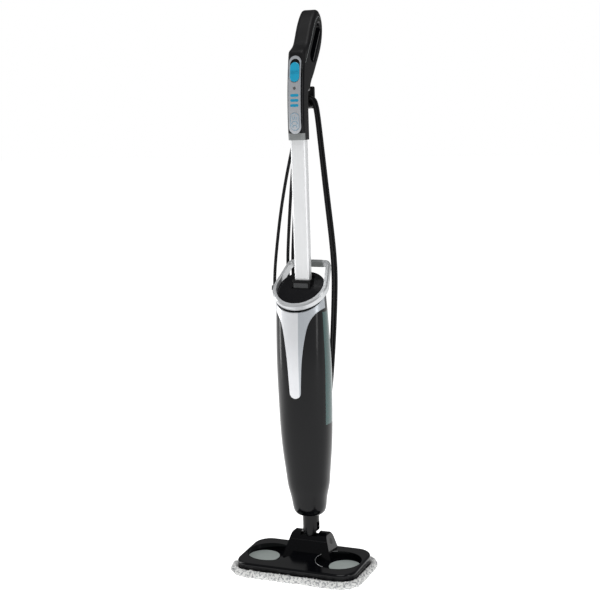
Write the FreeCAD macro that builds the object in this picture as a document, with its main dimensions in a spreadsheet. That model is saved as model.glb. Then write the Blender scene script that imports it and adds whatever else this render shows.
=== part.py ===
import FreeCAD, Part
import math
import os
import Sketcher

# Upright steam mop. Millimetres, +Z up. The front faces -Y, so +X is on the right of somebody facing it.
# The origin is on the floor under the pole's axis; the floor head reaches forward of it.

V = FreeCAD.Vector
doc = FreeCAD.newDocument("SteamMop")

SIZES = {
    "head_width": 272, "head_depth": 148, "head_corner": 36, "head_shift": -45, "cover_base": 14,
    "deck_top": 38, "cloth_width": 288, "cloth_depth": 166, "cloth_corner": 43, "cloth_rim": 15,
    "cloth_floor": 8, "strip_length": 210, "strip_width": 18, "strip_thick": 0.7, "sole_thick": 5,
    "steam_hole": 2.2, "manifold_length": 170, "manifold_width": 16, "manifold_height": 5,
    "dish_shift": 80, "dish_long": 50, "dish_short": 46, "dish_floor": 22, "wall": 2.6,
    "tilt_height": 57, "tower_arch": 20, "tower_top_half": 39, "tower_base_half": 55, "tower_slot": 41,
    "axle_radius": 5, "axle_length": 66, "drum_radius": 14, "drum_length": 39, "bush_radius": 7,
    "running_gap": 0.06, "swivel_height": 88.5, "pin_radius": 4, "pin_length": 30, "tongue_thick": 14,
    "neck_radius": 18, "neck_top": 150, "body_bottom": 119, "shell_wall": 3, "seam_depth": -28,
    "tank_low": 325, "tank_high": 568, "chamber_width": 76, "chamber_rear": 14, "tank_wall": 2.4,
    "rim_depth": -60.5, "rim_height": 578, "rim_tilt": 39.5, "ring_half": 8, "ring_length": 134,
    "ring_half_width": 61, "ring_band": 8.5, "pole_width": 33, "pole_depth": 20, "pole_corner": 5,
    "pole_wall": 1.4, "pole_low": 592, "pole_high": 1000, "collar_width": 43, "collar_depth": 31,
    "collar_low": 590, "collar_high": 631, "release_width": 32, "release_height": 9, "release_middle": 620,
    "release_travel": 2.5, "handle_low": 923, "handle_half": 18.5, "handle_front": -18.5,
    "handle_back": 17.5, "handle_bow": 650, "bow_middle": 960, "handle_edge": 8, "panel_width": 27,
    "panel_low": 936, "panel_high": 1094, "panel_thick": 1.6, "slider_width": 20.4, "slider_length": 40,
    "slider_middle": 1061, "slider_travel": 6, "button_width": 20.4, "button_length": 37,
    "button_middle": 961, "button_travel": 1.2, "lens_length": 18.4, "lens_height": 5.5,
    "lens_pitch": 10.2, "lens_middle": 1004, "lamp_radius": 3.1, "lamp_height": 1028.5,
    "hook_height": 992, "hook_radius": 7, "hook_spigot": 5, "hook_inner": 69.6, "hook_tip": 77,
    "low_hook_height": 300, "low_hook_radius": 8, "cord_diameter": 7, "lane_middle": 58.5,
    "lane_depth": 21, "band_width": 15, "boiler_radius": 22, "boiler_low": 176, "boiler_high": 286,
    "pump_radius": 16, "pump_low": 350, "pump_high": 415, "cap_radius": 13, "cap_height": 520,
}

sheet = doc.addObject("Spreadsheet::Sheet", "Sizes")
for row, (alias, value) in enumerate(SIZES.items(), start=1):
    sheet.set(f"A{row}", alias)
    sheet.set(f"B{row}", str(value))
    sheet.setAlias(f"B{row}", alias)
doc.recompute()

nodes = []


def size(alias):
    """A driving dimension, read from the sheet."""
    return float(sheet.get(alias))


def node(thing, label):
    """Name a finished sub-part, and list it for export."""
    thing.Label = label
    nodes.append(thing)
    return thing


def feature(label, shape):
    """A sub-part whose shape is set by Part's own functions."""
    thing = doc.addObject("Part::Feature", "Shape_" + label)
    thing.Shape = shape
    thing.Placement = shape.Placement
    return node(thing, label)


def bind(thing, **expressions):
    """Tie an object's sizes to the sheet."""
    for prop, text in expressions.items():
        thing.setExpression(prop.replace("__", "."), text)


def primitive(kind, name, position=V(), turn=None, **expressions):
    """A Part primitive with its sizes bound to the sheet."""
    thing = doc.addObject("Part::" + kind, name)
    bind(thing, **expressions)
    thing.Placement = FreeCAD.Placement(position, turn or FreeCAD.Rotation())
    return thing


def boolean(kind, name, base, tool):
    """A Part::Cut, Part::Fuse or Part::Common of two objects."""
    thing = doc.addObject("Part::" + kind, name)
    thing.Base = base
    thing.Tool = tool
    return thing


def origin_plane(body, role):
    """One of a body's own origin planes."""
    return next(f for f in body.Origin.OriginFeatures if f.Role == role)


def sketch_in(body, name, role="XY_Plane", offset=0.0):
    """An empty sketch on one of a body's own origin planes, moved along the plane's normal."""
    sketch = body.newObject("Sketcher::SketchObject", name)
    sketch.AttachmentSupport = [(origin_plane(body, role), "")]
    sketch.MapMode = "FlatFace"
    sketch.AttachmentOffset = FreeCAD.Placement(V(0, 0, offset), FreeCAD.Rotation())
    return sketch


def rounded_rectangle(sketch, width, depth, corner, middle=(0.0, 0.0)):
    """A constrained rounded rectangle: width, depth and corner are expressions on the sheet."""
    start_w, start_d, start_r = 100.0, 60.0, 5.0
    mx, my = middle
    w, d = start_w / 2, start_d / 2
    right, top = mx + w, my + d
    left, low = mx - w, my - d
    r = start_r
    lines = [
        ((left + r, low), (right - r, low)),
        ((right, low + r), (right, top - r)),
        ((right - r, top), (left + r, top)),
        ((left, top - r), (left, low + r)),
    ]
    arcs = [
        ((right - r, low + r), -90),
        ((right - r, top - r), 0),
        ((left + r, top - r), 90),
        ((left + r, low + r), 180),
    ]
    for (ax, ay), (bx, by) in lines:
        sketch.addGeometry(Part.LineSegment(V(ax, ay, 0), V(bx, by, 0)), False)
    for (cx, cy), first in arcs:
        circle = Part.Circle(V(cx, cy, 0), V(0, 0, 1), r)
        arc = Part.ArcOfCircle(circle, math.radians(first), math.radians(first + 90))
        sketch.addGeometry(arc, False)
    for side in range(4):
        arc = 4 + side
        sketch.addConstraint(Sketcher.Constraint("Tangent", side, 2, arc, 1))
        sketch.addConstraint(Sketcher.Constraint("Tangent", arc, 2, (side + 1) % 4, 1))
    for side, direction in enumerate(("Horizontal", "Vertical", "Horizontal", "Vertical")):
        sketch.addConstraint(Sketcher.Constraint(direction, side))
    for arc in (5, 6, 7):
        sketch.addConstraint(Sketcher.Constraint("Equal", 4, arc))
    named = (
        ("width", Sketcher.Constraint("DistanceX", 3, 1, 1, 1, start_w), width),
        ("depth", Sketcher.Constraint("DistanceY", 0, 1, 2, 1, start_d), depth),
        ("corner", Sketcher.Constraint("Radius", 4, start_r), corner),
    )
    for name, constraint, expression in named:
        number = sketch.addConstraint(constraint)
        sketch.renameConstraint(number, name)
        sketch.setExpression("Constraints." + name, expression)
    number = sketch.addConstraint(Sketcher.Constraint("DistanceX", -1, 1, 1, 1, right))
    sketch.renameConstraint(number, "reach")
    sketch.setExpression("Constraints.reach", f"({width}) / 2 + {mx}")
    if abs(top) > 1e-6:
        number = sketch.addConstraint(Sketcher.Constraint("DistanceY", -1, 1, 2, 1, top))
        sketch.renameConstraint(number, "rise")
        sketch.setExpression("Constraints.rise", f"({depth}) / 2 + {my}")


def slab(name, width, depth, corner, low, thick, middle=(0.0, 0.0)):
    """A PartDesign body: a rounded rectangle padded upwards from the height low."""
    body = doc.addObject("PartDesign::Body", name)
    sketch = sketch_in(body, name + "Outline", "XY_Plane", low)
    rounded_rectangle(sketch, width, depth, corner, middle)
    pad = body.newObject("PartDesign::Pad", name + "Pad")
    pad.Profile = sketch
    bind(pad, Length=thick)
    return body


def turned(axis_place, direction, outline):
    """A solid of revolution: outline is (radius, distance along the direction) pairs."""
    wire = Part.makePolygon([V(r, 0, t) for r, t in outline] + [V(outline[0][0], 0, outline[0][1])])
    solid = Part.Face(wire).revolve(V(0, 0, 0), V(0, 0, 1), 360)
    solid.Placement = FreeCAD.Placement(axis_place, FreeCAD.Rotation(V(0, 0, 1), direction))
    return solid


def rod(start, end, radius):
    """A round bar between two points."""
    along = end - start
    return Part.makeCylinder(radius, along.Length, start, along)


def block(x, y, z):
    """A box from its three (low, high) pairs."""
    return Part.makeBox(x[1] - x[0], y[1] - y[0], z[1] - z[0], V(x[0], y[0], z[0]))


def pill(width, length, low, high, middle_height):
    """A stadium standing along Z, pushed along Y from low to high."""
    r = width / 2
    half = length / 2 - r
    top, bottom = V(0, low, middle_height + half), V(0, low, middle_height - half)
    along = V(0, high - low, 0)
    box = block((-r, r), (low, high), (middle_height - half, middle_height + half))
    shape = box
    for end in (top, bottom):
        shape = shape.fuse(rod(end, end + along, r))
    return shape.removeSplitter()


def lying_pill(length, height, low, high, middle_height):
    """A stadium lying along X, pushed along Y from low to high."""
    r = height / 2
    half = length / 2 - r
    shape = block((-half, half), (low, high), (middle_height - r, middle_height + r))
    for x in (-half, half):
        shape = shape.fuse(rod(V(x, low, middle_height), V(x, high, middle_height), r))
    return shape.removeSplitter()


def route(points, share=0.45):
    """Straight runs joined by tangent arcs, each as large as its two runs allow, and the arcs' radii."""
    edges, radii = [], []
    here = points[0]
    for before, corner, after in zip(points, points[1:], points[2:]):
        back, on = before - corner, after - corner
        shorter = min(back.Length, on.Length)
        turn = math.pi - back.getAngle(on)
        cut = share * shorter
        radii.append(cut / math.tan(turn / 2))
        back.normalize()
        on.normalize()
        start, end = corner + back * cut, corner + on * cut
        bisector = back + on
        bisector.normalize()
        top = corner + bisector * (cut * math.tan(turn / 4))
        if (start - here).Length > 1e-6:
            edges.append(Part.LineSegment(here, start).toShape())
        edges.append(Part.Arc(start, top, end).toShape())
        here = end
    edges.append(Part.LineSegment(here, points[-1]).toShape())
    return Part.Wire(edges), radii


def tube(label, points, diameter, report=False):
    """A round tube along a route."""
    wire, radii = route(points)
    start = Part.Wire([Part.Circle(points[0], points[1] - points[0], diameter / 2).toShape()])
    shape = wire.makePipeShell([start], True, True)
    if report:
        full = math.pi * diameter ** 2 / 4 * wire.Length
        print(f"{label}: length {wire.Length:.0f}, volume share {shape.Volume / full:.4f}")
        print("  radii", [round(r) for r in radii])
    return shape


def tangent_arc(start, direction, end):
    """The arc from start to end that leaves along the direction, or a straight edge where it is nearly straight."""
    chord = end - start
    lean = direction.getAngle(chord)
    if lean < 1e-4:
        return Part.LineSegment(start, end).toShape()
    along = V(chord)
    along.normalize()
    side = direction - along * direction.dot(along)
    side.normalize()
    top = (start + end) * 0.5 + side * (chord.Length / 2 * math.tan(lean / 2))
    return Part.Arc(start, top, end).toShape()


def smooth_arcs(points, first=None, last=None):
    """Pairs of tangent arcs through the points, which turn as a spline through them does."""
    spline = Part.BSplineCurve()
    if first is None:
        spline.interpolate(points)
    else:
        spline.interpolate(points, InitialTangent=first, FinalTangent=last)
    headings = [spline.tangent(spline.parameter(point))[0] for point in points]
    edges = []
    for start, out, end, into in zip(points, headings, points[1:], headings[1:]):
        gap = end - start
        both = out + into
        spread = 2 * (1 - out.dot(into))
        if spread < 1e-9:
            reach = gap.dot(gap) / (2 * gap.dot(both))
        else:
            reach = (math.sqrt(gap.dot(both) ** 2 + spread * gap.dot(gap)) - gap.dot(both)) / spread
        join = (start + end + (out - into) * reach) * 0.5
        edges.append(tangent_arc(start, out, join))
        back = tangent_arc(end, into * -1, join)
        edges.append(back)
    return edges


def one_solid(shape):
    """The shape as one solid, checked."""
    solids = shape.Solids
    if len(solids) != 1:
        raise ValueError(f"{len(solids)} solids where one is wanted")
    return solids[0]


# ---- the floor head -------------------------------------------------------------------------------

SHIFT = size("head_shift")
middle = (0.0, SHIFT)

cloth = slab("Cloth", "Sizes.cloth_width", "Sizes.cloth_depth", "Sizes.cloth_corner", 0.0,
             "Sizes.cloth_rim", middle)
hollow = sketch_in(cloth, "ClothHollow", "XY_Plane", size("cloth_rim"))
rounded_rectangle(hollow, "Sizes.head_width + 0.8", "Sizes.head_depth + 0.8", "Sizes.head_corner + 0.4", middle)
pocket = cloth.newObject("PartDesign::Pocket", "ClothPocket")
pocket.Profile = hollow
bind(pocket, Length="Sizes.cloth_rim - Sizes.cloth_floor")
node(cloth, "cloth_pad")

sole_low = 9.0
sole = slab("Sole", "Sizes.head_width - 1", "Sizes.head_depth - 1", "Sizes.head_corner - 0.5", sole_low,
            "Sizes.cover_base - 9", middle)
holes = sketch_in(sole, "SteamHoles", "XY_Plane", size("cover_base"))
for column in range(-4, 5):
    place = V(column * 18.0, SHIFT, 0)
    number = holes.addGeometry(Part.Circle(place, V(0, 0, 1), 2.2), False)
    bound = holes.addConstraint(Sketcher.Constraint("Radius", number, 2.2))
    holes.renameConstraint(bound, f"hole{column + 4}")
    holes.setExpression(f"Constraints.hole{column + 4}", "Sizes.steam_hole")
    holes.addConstraint(Sketcher.Constraint("DistanceX", -1, 1, number, 3, place.x) if column else
                        Sketcher.Constraint("PointOnObject", number, 3, -2))
    holes.addConstraint(Sketcher.Constraint("DistanceY", number, 3, -1, 1, -SHIFT))
hole_pocket = sole.newObject("PartDesign::Pocket", "SteamHolePocket")
hole_pocket.Profile = holes
hole_pocket.Type = "ThroughAll"
screw_sketch = sketch_in(sole, "ScrewHoles", "XY_Plane", size("cover_base"))
SCREW_SPOTS = [(x, SHIFT + y) for x in (-113, 113) for y in (-57, 57)]
for x, y in SCREW_SPOTS:
    screw_sketch.addGeometry(Part.Circle(V(x, y, 0), V(0, 0, 1), 3.4), False)
screw_pocket = sole.newObject("PartDesign::Pocket", "ScrewHolePocket")
screw_pocket.Profile = screw_sketch
screw_pocket.Type = "ThroughAll"
node(sole, "sole_plate")

strips = []
for side in (-1, 1):
    place = V(-size("strip_length") / 2, SHIFT + side * 46 - size("strip_width") / 2, sole_low - 0.7)
    strips.append(primitive("Box", "Strip", place, None, Length="Sizes.strip_length",
                            Width="Sizes.strip_width", Height="Sizes.strip_thick"))
strip_pair = doc.addObject("Part::Compound", "StripPair")
strip_pair.Links = strips
node(strip_pair, "hook_and_loop_strips")

manifold = primitive("Box", "ManifoldBar", V(-85, SHIFT - 8, 14), None, Length="Sizes.manifold_length",
                     Width="Sizes.manifold_width", Height="Sizes.manifold_height")
spigot = primitive("Cylinder", "ManifoldSpigot", V(0, SHIFT + 2, 18), None, Radius="4", Height="9")
node(boolean("Fuse", "Manifold", manifold, spigot), "steam_manifold")


def plan_block(width, depth, corner, low, high):
    """A rounded rectangle in plan, about the head's middle."""
    w, d = width / 2, depth / 2
    shape = block((-w, w), (SHIFT - d, SHIFT + d), (low, high))
    upright = [e for e in shape.Edges if e.BoundBox.ZLength > (high - low) / 2]
    return shape.makeFillet(corner, upright)


def dish(side, grow, low, high):
    """An upright elliptical column at one of the head's two dishes."""
    centre = V(side * size("dish_shift"), SHIFT, low)
    ellipse = Part.Ellipse(centre, size("dish_long") + grow, size("dish_short") + grow)
    return Part.Face(Part.Wire([ellipse.toShape()])).extrude(V(0, 0, high - low))


def head_cover():
    """The glossy cover: a sloping deck with two dishes, a stepped band round it, and the pivot tower."""
    wide, deep, corner = size("head_width"), size("head_depth"), size("head_corner")
    low, high, wall = size("cover_base"), size("deck_top"), size("wall")
    outer = plan_block(wide, deep, corner, low, high)
    slope = block((-200, 200), (-200, 200), (0, 60))
    slope.Placement = FreeCAD.Placement(V(0, SHIFT, high - 3.2), FreeCAD.Rotation(V(1, 0, 0), 2.2))
    outer = outer.cut(slope)
    top = [e for e in outer.Edges if e.BoundBox.ZMin > high - 9]
    outer = outer.makeFillet(4.5, top)
    groove = 0.9
    for level in (19.5, 25.5):
        ring = plan_block(wide + 4, deep + 4, corner + 2, level, level + groove)
        ring = ring.cut(plan_block(wide - 1.6, deep - 1.6, corner - 0.8, level, level + groove))
        outer = outer.cut(ring)
    inner = plan_block(wide - 2 * wall - 1, deep - 2 * wall - 1, corner - wall, low - 1, high - 9)
    floor = size("dish_floor")
    for side in (-1, 1):
        inner = inner.cut(dish(side, wall, floor - wall, high))
    for x in (-113, 113):
        for y in (-57, 57):
            inner = inner.cut(Part.makeCylinder(4.5, 40, V(x, SHIFT + y, 0)))
    cover = outer.cut(inner)
    for side in (-1, 1):
        cover = cover.cut(dish(side, 0, floor, high + 5))
    for x in (-113, 113):
        for y in (-57, 57):
            cover = cover.cut(Part.makeCylinder(1.6, 12, V(x, SHIFT + y, low - 1)))
    return cover.fuse(tower()).cut(tower_space()).removeSplitter()


def tower():
    """The tower that carries the tilt axle: a trapezoid from the front, arched from the side."""
    tilt, arch = size("tilt_height"), size("tower_arch")
    top_half, base_half, base = size("tower_top_half"), size("tower_base_half"), 21.0
    top = tilt + arch
    front = Part.makePolygon([V(-base_half - 2, -60, base), V(base_half + 2, -60, base),
                              V(top_half, -60, top), V(-top_half, -60, top), V(-base_half - 2, -60, base)])
    front = Part.Face(front).extrude(V(0, 120, 0))
    shoulders = [e for e in front.Edges if abs(e.BoundBox.ZMin - top) < 0.1 and e.BoundBox.YLength > 100]
    front = front.makeFillet(7, shoulders)
    reach_front, reach_back = -33.0, 25.0
    side = Part.makePolygon([V(-90, reach_front, base), V(-90, reach_back, base), V(-90, arch * 0.97, tilt + 4),
                             V(-90, -arch * 0.97, tilt + 4), V(-90, reach_front, base)])
    side = Part.Face(side).extrude(V(180, 0, 0))
    side = side.fuse(rod(V(-90, 0, tilt), V(90, 0, tilt), arch))
    return front.common(side)


def tower_space():
    """What is cut from the tower: the slot for the knuckle and the axle's bore."""
    half, tilt = size("tower_slot") / 2, size("tilt_height")
    slot = block((-half, half), (-15.6, 60), (33, 120))
    axle_half = size("axle_length") / 2
    space = slot.fuse(rod(V(-axle_half, 0, tilt), V(axle_half, 0, tilt), size("axle_radius")))
    for side in (-1, 1):
        space = space.fuse(rod(V(side * axle_half, 0, tilt), V(side * 70, 0, tilt), 6.5))
    return space


feature("head_cover", one_solid(head_cover()))

for side, label in ((-1, "dish_insert_left"), (1, "dish_insert_right")):
    plate = Part.Ellipse(V(side * 94.5, SHIFT - 1, size("dish_floor")), 34.2, 33.8)
    feature(label, Part.Face(Part.Wire([plate.toShape()])).extrude(V(0, 0, 1.5)))

axle = primitive("Cylinder", "TiltAxle", V(-size("axle_length") / 2, 0, size("tilt_height")),
                 FreeCAD.Rotation(V(0, 1, 0), 90), Radius="Sizes.axle_radius", Height="Sizes.axle_length")
node(axle, "tilt_axle")


def screw(place, direction, head=3.2, shank=1.5, length=12.0, head_height=2.2):
    """A round-headed screw with a cross recess, its head's top at the place, pointing along the direction."""
    outline = [(0, 0), (head, 0), (head, head_height), (shank, head_height), (shank, length), (0, length)]
    body = turned(V(), V(0, 0, 1), outline)
    for turn in (0, 90):
        bar = Part.makeBox(3.4, 0.8, 1.0, V(-1.7, -0.4, 0))
        bar.rotate(V(), V(0, 0, 1), turn)
        body = body.cut(bar)
    body.Placement = FreeCAD.Placement(place, FreeCAD.Rotation(V(0, 0, 1), direction))
    return body


head_screws = [screw(V(x, y, sole_low + 2.4), V(0, 0, 1), length=12) for x, y in SCREW_SPOTS]
feature("head_screws", Part.makeCompound(head_screws))

axle_caps = []
for side in (-1, 1):
    inner_end = V(side * (size("axle_length") / 2 + 0.5), 0, size("tilt_height"))
    cap_bar = rod(inner_end, V(side * 70, 0, size("tilt_height")), 6.5)
    axle_caps.append(one_solid(tower().common(cap_bar)))
feature("axle_caps", Part.makeCompound(axle_caps))

# ---- the knuckle between the two pivots -------------------------------------------------------------

TILT, SWIVEL = size("tilt_height"), size("swivel_height")
GAP = size("running_gap")


def knuckle():
    """A drum on the tilt axle with a tongue that carries the swivel pin."""
    half = size("drum_length") / 2
    drum = rod(V(-half, 0, TILT), V(half, 0, TILT), size("drum_radius"))
    thick = size("tongue_thick") / 2
    tongue = block((-9, 9), (-thick, thick), (TILT, SWIVEL))
    tongue = tongue.fuse(rod(V(0, -thick, SWIVEL), V(0, thick, SWIVEL), 9.5))
    shape = drum.fuse(tongue)
    shape = shape.cut(rod(V(-half, 0, TILT), V(half, 0, TILT), size("axle_radius") + 0.5))
    for side in (-1, 1):
        shape = shape.cut(rod(V(side * half, 0, TILT), V(side * (half - 9), 0, TILT), size("bush_radius")))
    return shape.cut(rod(V(0, -20, SWIVEL), V(0, 20, SWIVEL), size("pin_radius"))).removeSplitter()


feature("knuckle", one_solid(knuckle()))
bushes = []
for side in (-1, 1):
    half = size("drum_length") / 2
    inner = size("axle_radius") + GAP
    bush = rod(V(side * half, 0, TILT), V(side * (half - 9), 0, TILT), size("bush_radius"))
    bushes.append(bush.cut(rod(V(side * half, 0, TILT), V(side * (half - 9), 0, TILT), inner)))
feature("tilt_bushes", Part.makeCompound(bushes))
pin = primitive("Cylinder", "SwivelPin", V(0, size("pin_length") / 2, SWIVEL), FreeCAD.Rotation(V(1, 0, 0), 90),
                Radius="Sizes.pin_radius", Height="Sizes.pin_length")
node(pin, "swivel_pin")

# ---- the upper body ---------------------------------------------------------------------------------

neck_low = 60.0
neck_round = primitive("Cylinder", "NeckRound", V(0, 0, neck_low), None, Radius="Sizes.neck_radius",
                       Height="Sizes.neck_top - 60")
neck_end = primitive("Cylinder", "NeckEnd", V(0, 30, SWIVEL), FreeCAD.Rotation(V(1, 0, 0), 90),
                     Radius="Sizes.neck_radius", Height="60")
neck_upper = primitive("Box", "NeckUpper", V(-30, -30, SWIVEL), None, Length="60", Width="60", Height="80")
neck = boolean("Common", "NeckOuter", neck_round, boolean("Fuse", "NeckMask", neck_end, neck_upper))
neck_slot = primitive("Box", "NeckSlot", V(-30, -7.4, 50), None, Length="60", Width="14.8",
                      Height="Sizes.swivel_height + 10.5 - 50")
neck_bore = primitive("Cylinder", "NeckBore", V(0, 0, SWIVEL + 14), None, Radius="8", Height="80")
neck_pin = primitive("Cylinder", "NeckPinBore", V(0, 15.2, SWIVEL), FreeCAD.Rotation(V(1, 0, 0), 90),
                     Radius="Sizes.pin_radius + Sizes.running_gap", Height="30.4")
for number, tool in enumerate((neck_slot, neck_bore, neck_pin)):
    neck = boolean("Cut", f"NeckCut{number}", neck, tool)
node(neck, "neck_tube")

# Height, half width, half depth and middle of the body's egg-shaped section, from the bottom up.
SECTIONS = (
    (119, 28, 27, -3), (123, 32, 31, -3), (140, 36.5, 36, -4), (176, 43, 43, -5), (212, 47.5, 47, -6),
    (266, 52.8, 51, -7.5), (337, 56.3, 53.5, -8.5), (408, 57.7, 54, -9), (478, 57.5, 51.5, -11),
    (540, 56, 46, -13), (600, 53.5, 41, -15), (680, 50, 36, -16),
)


def section(height, half_width, half_depth, centre):
    """A closed smooth section, a little squarer than an ellipse."""
    count, squareness = 24, 0.93
    points = []
    for step in range(count):
        angle = 2 * math.pi * step / count
        c, s = math.cos(angle), math.sin(angle)
        x = half_width * math.copysign(abs(c) ** squareness, c)
        y = centre + half_depth * math.copysign(abs(s) ** squareness, s)
        points.append(V(x, y, height))
    curve = Part.BSplineCurve()
    curve.interpolate(points, PeriodicFlag=True)
    return Part.Wire([curve.toShape()])


def body_form(inset, low=0.0):
    """The body's outer form, drawn in by the inset and raised at its foot."""
    wires = []
    for number, (height, half_width, half_depth, centre) in enumerate(SECTIONS):
        z = height + (low if number == 0 else low * 0.5 if number == 1 else 0.0)
        wires.append(section(z, half_width - inset, half_depth - inset, centre))
    return Part.makeLoft(wires, True, False)


def above_rim(offset):
    """Everything above the tilted rim plane, moved along its normal by the offset."""
    tool = Part.makeBox(400, 400, 300, V(-200, -200, offset))
    turn = FreeCAD.Rotation(V(1, 0, 0), size("rim_tilt"))
    tool.Placement = FreeCAD.Placement(V(0, size("rim_depth"), size("rim_height")), turn)
    return tool


outer = body_form(0.0)
inner = body_form(size("shell_wall"), 4.0)
walls = outer.cut(inner)
walls = walls.cut(above_rim(-size("ring_half") - 0.1))
walls = walls.cut(rod(V(0, 0, 100), V(0, 0, 140), size("neck_radius") + 0.1))
SEAM = size("seam_depth")
LOW, HIGH = size("tank_low"), size("tank_high")
WIDE = (-150, 150)


def at_surface(x, z):
    """The rear surface's Y on the body's form, at this X and Z."""
    for lower, upper in zip(SECTIONS, SECTIONS[1:]):
        if lower[0] <= z <= upper[0]:
            t = (z - lower[0]) / (upper[0] - lower[0])
            a, b, c = (lower[i] + t * (upper[i] - lower[i]) for i in (1, 2, 3))
            return c + b * math.sqrt(max(0.0, 1 - (x / a) ** 2))
    raise ValueError("outside the body")


body_screw_places = [V(x, at_surface(26, z) - 1.0, z) for z in (160, 250, 600) for x in (-26, 26)]
body_screws = [screw(p, V(0, -1, 0), length=8) for p in body_screw_places]
body_screw_space = [rod(p + V(0, 15, 0), p - V(0, 2.3, 0), 3.3).fuse(rod(p, p - V(0, 8.2, 0), 1.6))
                    for p in body_screw_places]

gland_place = V(20, 29, 192)
gland_direction = V(0, 0.5, 0.8660254)
gland_outline = [(0, 0), (9, 0), (9, 16), (6.2, 17), (4.6, 40), (0, 40)]
gland_room = [(0, -5), (9.1, -5), (9.1, 16), (6.4, 17.1), (5, 39.9), (0, 39.9)]
gland = turned(gland_place, gland_direction, gland_outline)
gland_tip = gland_place + gland_direction * 40

front_shell = walls.common(block(WIDE, (-150, SEAM), (100, 700)))
feature("front_shell", one_solid(front_shell))
lower_cover = walls.common(block(WIDE, (SEAM, 150), (100, LOW)))
for space in body_screw_space[:4] + [turned(gland_place, gland_direction, gland_room)]:
    lower_cover = lower_cover.cut(space)
low_hook_height = size("low_hook_height")
hook_seat = at_surface(0, low_hook_height)
lower_cover = lower_cover.cut(rod(V(0, 0, low_hook_height), V(0, 60, low_hook_height), size("low_hook_radius")))
feature("rear_cover_lower", one_solid(lower_cover))
upper_cover = walls.common(block(WIDE, (SEAM, 150), (HIGH, 700)))
for space in body_screw_space[4:]:
    upper_cover = upper_cover.cut(space)
feature("rear_cover_upper", one_solid(upper_cover))


def water_tank():
    """A hollow tank that wraps round the back of the body, with a filler mouth."""
    wall, half, rear = size("tank_wall"), size("chamber_width") / 2, size("chamber_rear")
    zone = block(WIDE, (SEAM, 150), (LOW, HIGH))
    chamber = block((-half, half), (-150, rear), (LOW - 5, HIGH + 5))
    vessel = outer.common(zone).cut(chamber)
    zone_in = block(WIDE, (SEAM + wall, 150), (LOW + wall, HIGH - wall))
    chamber_in = block((-half - wall, half + wall), (-150, rear + wall), (LOW - 5, HIGH + 5))
    water = body_form(wall).common(zone_in).cut(chamber_in)
    vessel = vessel.cut(water)
    height = size("cap_height")
    surface = at_surface(0, height)
    seat = rod(V(0, surface - 2.5, height), V(0, 80, height), size("cap_radius") + 0.4)
    mouth = rod(V(0, surface - 9, height), V(0, 80, height), size("cap_radius") - 4)
    return vessel.cut(seat).cut(mouth)


feature("water_tank", one_solid(water_tank()))

cap_height, cap_radius = size("cap_height"), size("cap_radius")
cap_seat = at_surface(0, cap_height)
cap = rod(V(0, cap_seat - 2.1, cap_height), V(0, cap_seat + 3.5, cap_height), cap_radius)
cap = cap.makeFillet(1.2, [e for e in cap.Edges if e.BoundBox.YMin > cap_seat + 3])
cap = cap.fuse(rod(V(0, cap_seat - 8, cap_height), V(0, cap_seat - 2, cap_height), cap_radius - 4.4))
cap = cap.fuse(block((-7, 7), (cap_seat + 3, cap_seat + 6.5), (cap_height - 1.5, cap_height + 1.5)))
feature("filler_cap", one_solid(cap.removeSplitter()))

chassis = doc.addObject("PartDesign::Body", "Chassis")
plate = sketch_in(chassis, "ChassisOutline", "XZ_Plane", -8.0)
rounded_rectangle(plate, "58", "370", "6", (0.0, 355.0))
plate_pad = chassis.newObject("PartDesign::Pad", "ChassisPad")
plate_pad.Profile = plate
bind(plate_pad, Length="3")
plate_pad.Reversed = True
node(chassis, "chassis_plate")

boiler_y = -16.0


def boiler_outline(low, high, radius):
    """Half the boiler's section: a drum with bevelled ends and a band round it."""
    return [(0, low), (radius - 5, low), (radius, low + 5), (radius, low + 50), (radius + 1.2, low + 50),
            (radius + 1.2, low + 56), (radius, low + 56), (radius, high - 5), (radius - 5, high), (0, high)]


def pump_outline(low, high, radius):
    """Half the pump's section: a wide middle with a narrower nozzle at each end."""
    return [(0, low), (6, low), (6, low + 8), (radius, low + 8), (radius, high - 12), (radius - 6, high - 12),
            (radius - 6, high), (0, high)]


boiler_sizes = [size(name) for name in ("boiler_low", "boiler_high", "boiler_radius")]
feature("boiler", turned(V(0, boiler_y, 0), V(0, 0, 1), boiler_outline(*boiler_sizes)))
pump_sizes = [size(name) for name in ("pump_low", "pump_high", "pump_radius")]
feature("pump", turned(V(0, boiler_y, 0), V(0, 0, 1), pump_outline(*pump_sizes)))
board = block((-27, 27), (-18, -16.4), (432, 528))
for x, z, w, d, t in ((-14, 450, 16, 18, 12), (10, 455, 14, 12, 9), (-10, 490, 22, 10, 7), (12, 500, 10, 16, 14)):
    board = board.fuse(block((x - w / 2, x + w / 2), (-18 - t, -18), (z - d / 2, z + d / 2)))
feature("circuit_board", one_solid(board))
pump_low, boiler_high = size("pump_low"), size("boiler_high")
pump_hose_points = [V(0, boiler_y, pump_low), V(0, boiler_y, pump_low - 12), V(4, boiler_y, pump_low - 25),
                    V(-4, boiler_y, boiler_high + 25), V(0, boiler_y, boiler_high + 12), V(0, boiler_y, boiler_high)]
feature("pump_hose", tube("pump_hose", pump_hose_points, 6.0))
steam_points = [V(0, boiler_y, size("boiler_low")), V(0, boiler_y, 168), V(0, -2, 156), V(0, 0, 145), V(0, 0, 120)]
feature("steam_hose", tube("steam_hose", steam_points, 7.0))

stem = rod(V(0, hook_seat - 8, low_hook_height), V(0, size("hook_tip"), low_hook_height), size("low_hook_radius"))
prong = block((-8, 8), (size("hook_inner"), size("hook_tip")), (low_hook_height - 38, low_hook_height))
prong_edges = [e for e in prong.Edges if e.BoundBox.ZMax < low_hook_height - 37 or e.BoundBox.ZLength > 30]
prong = prong.makeFillet(3, prong_edges)
feature("lower_cord_hook", one_solid(stem.fuse(prong).removeSplitter()))
feature("cord_gland", gland)
feature("body_screws", Part.makeCompound(body_screws))


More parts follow.
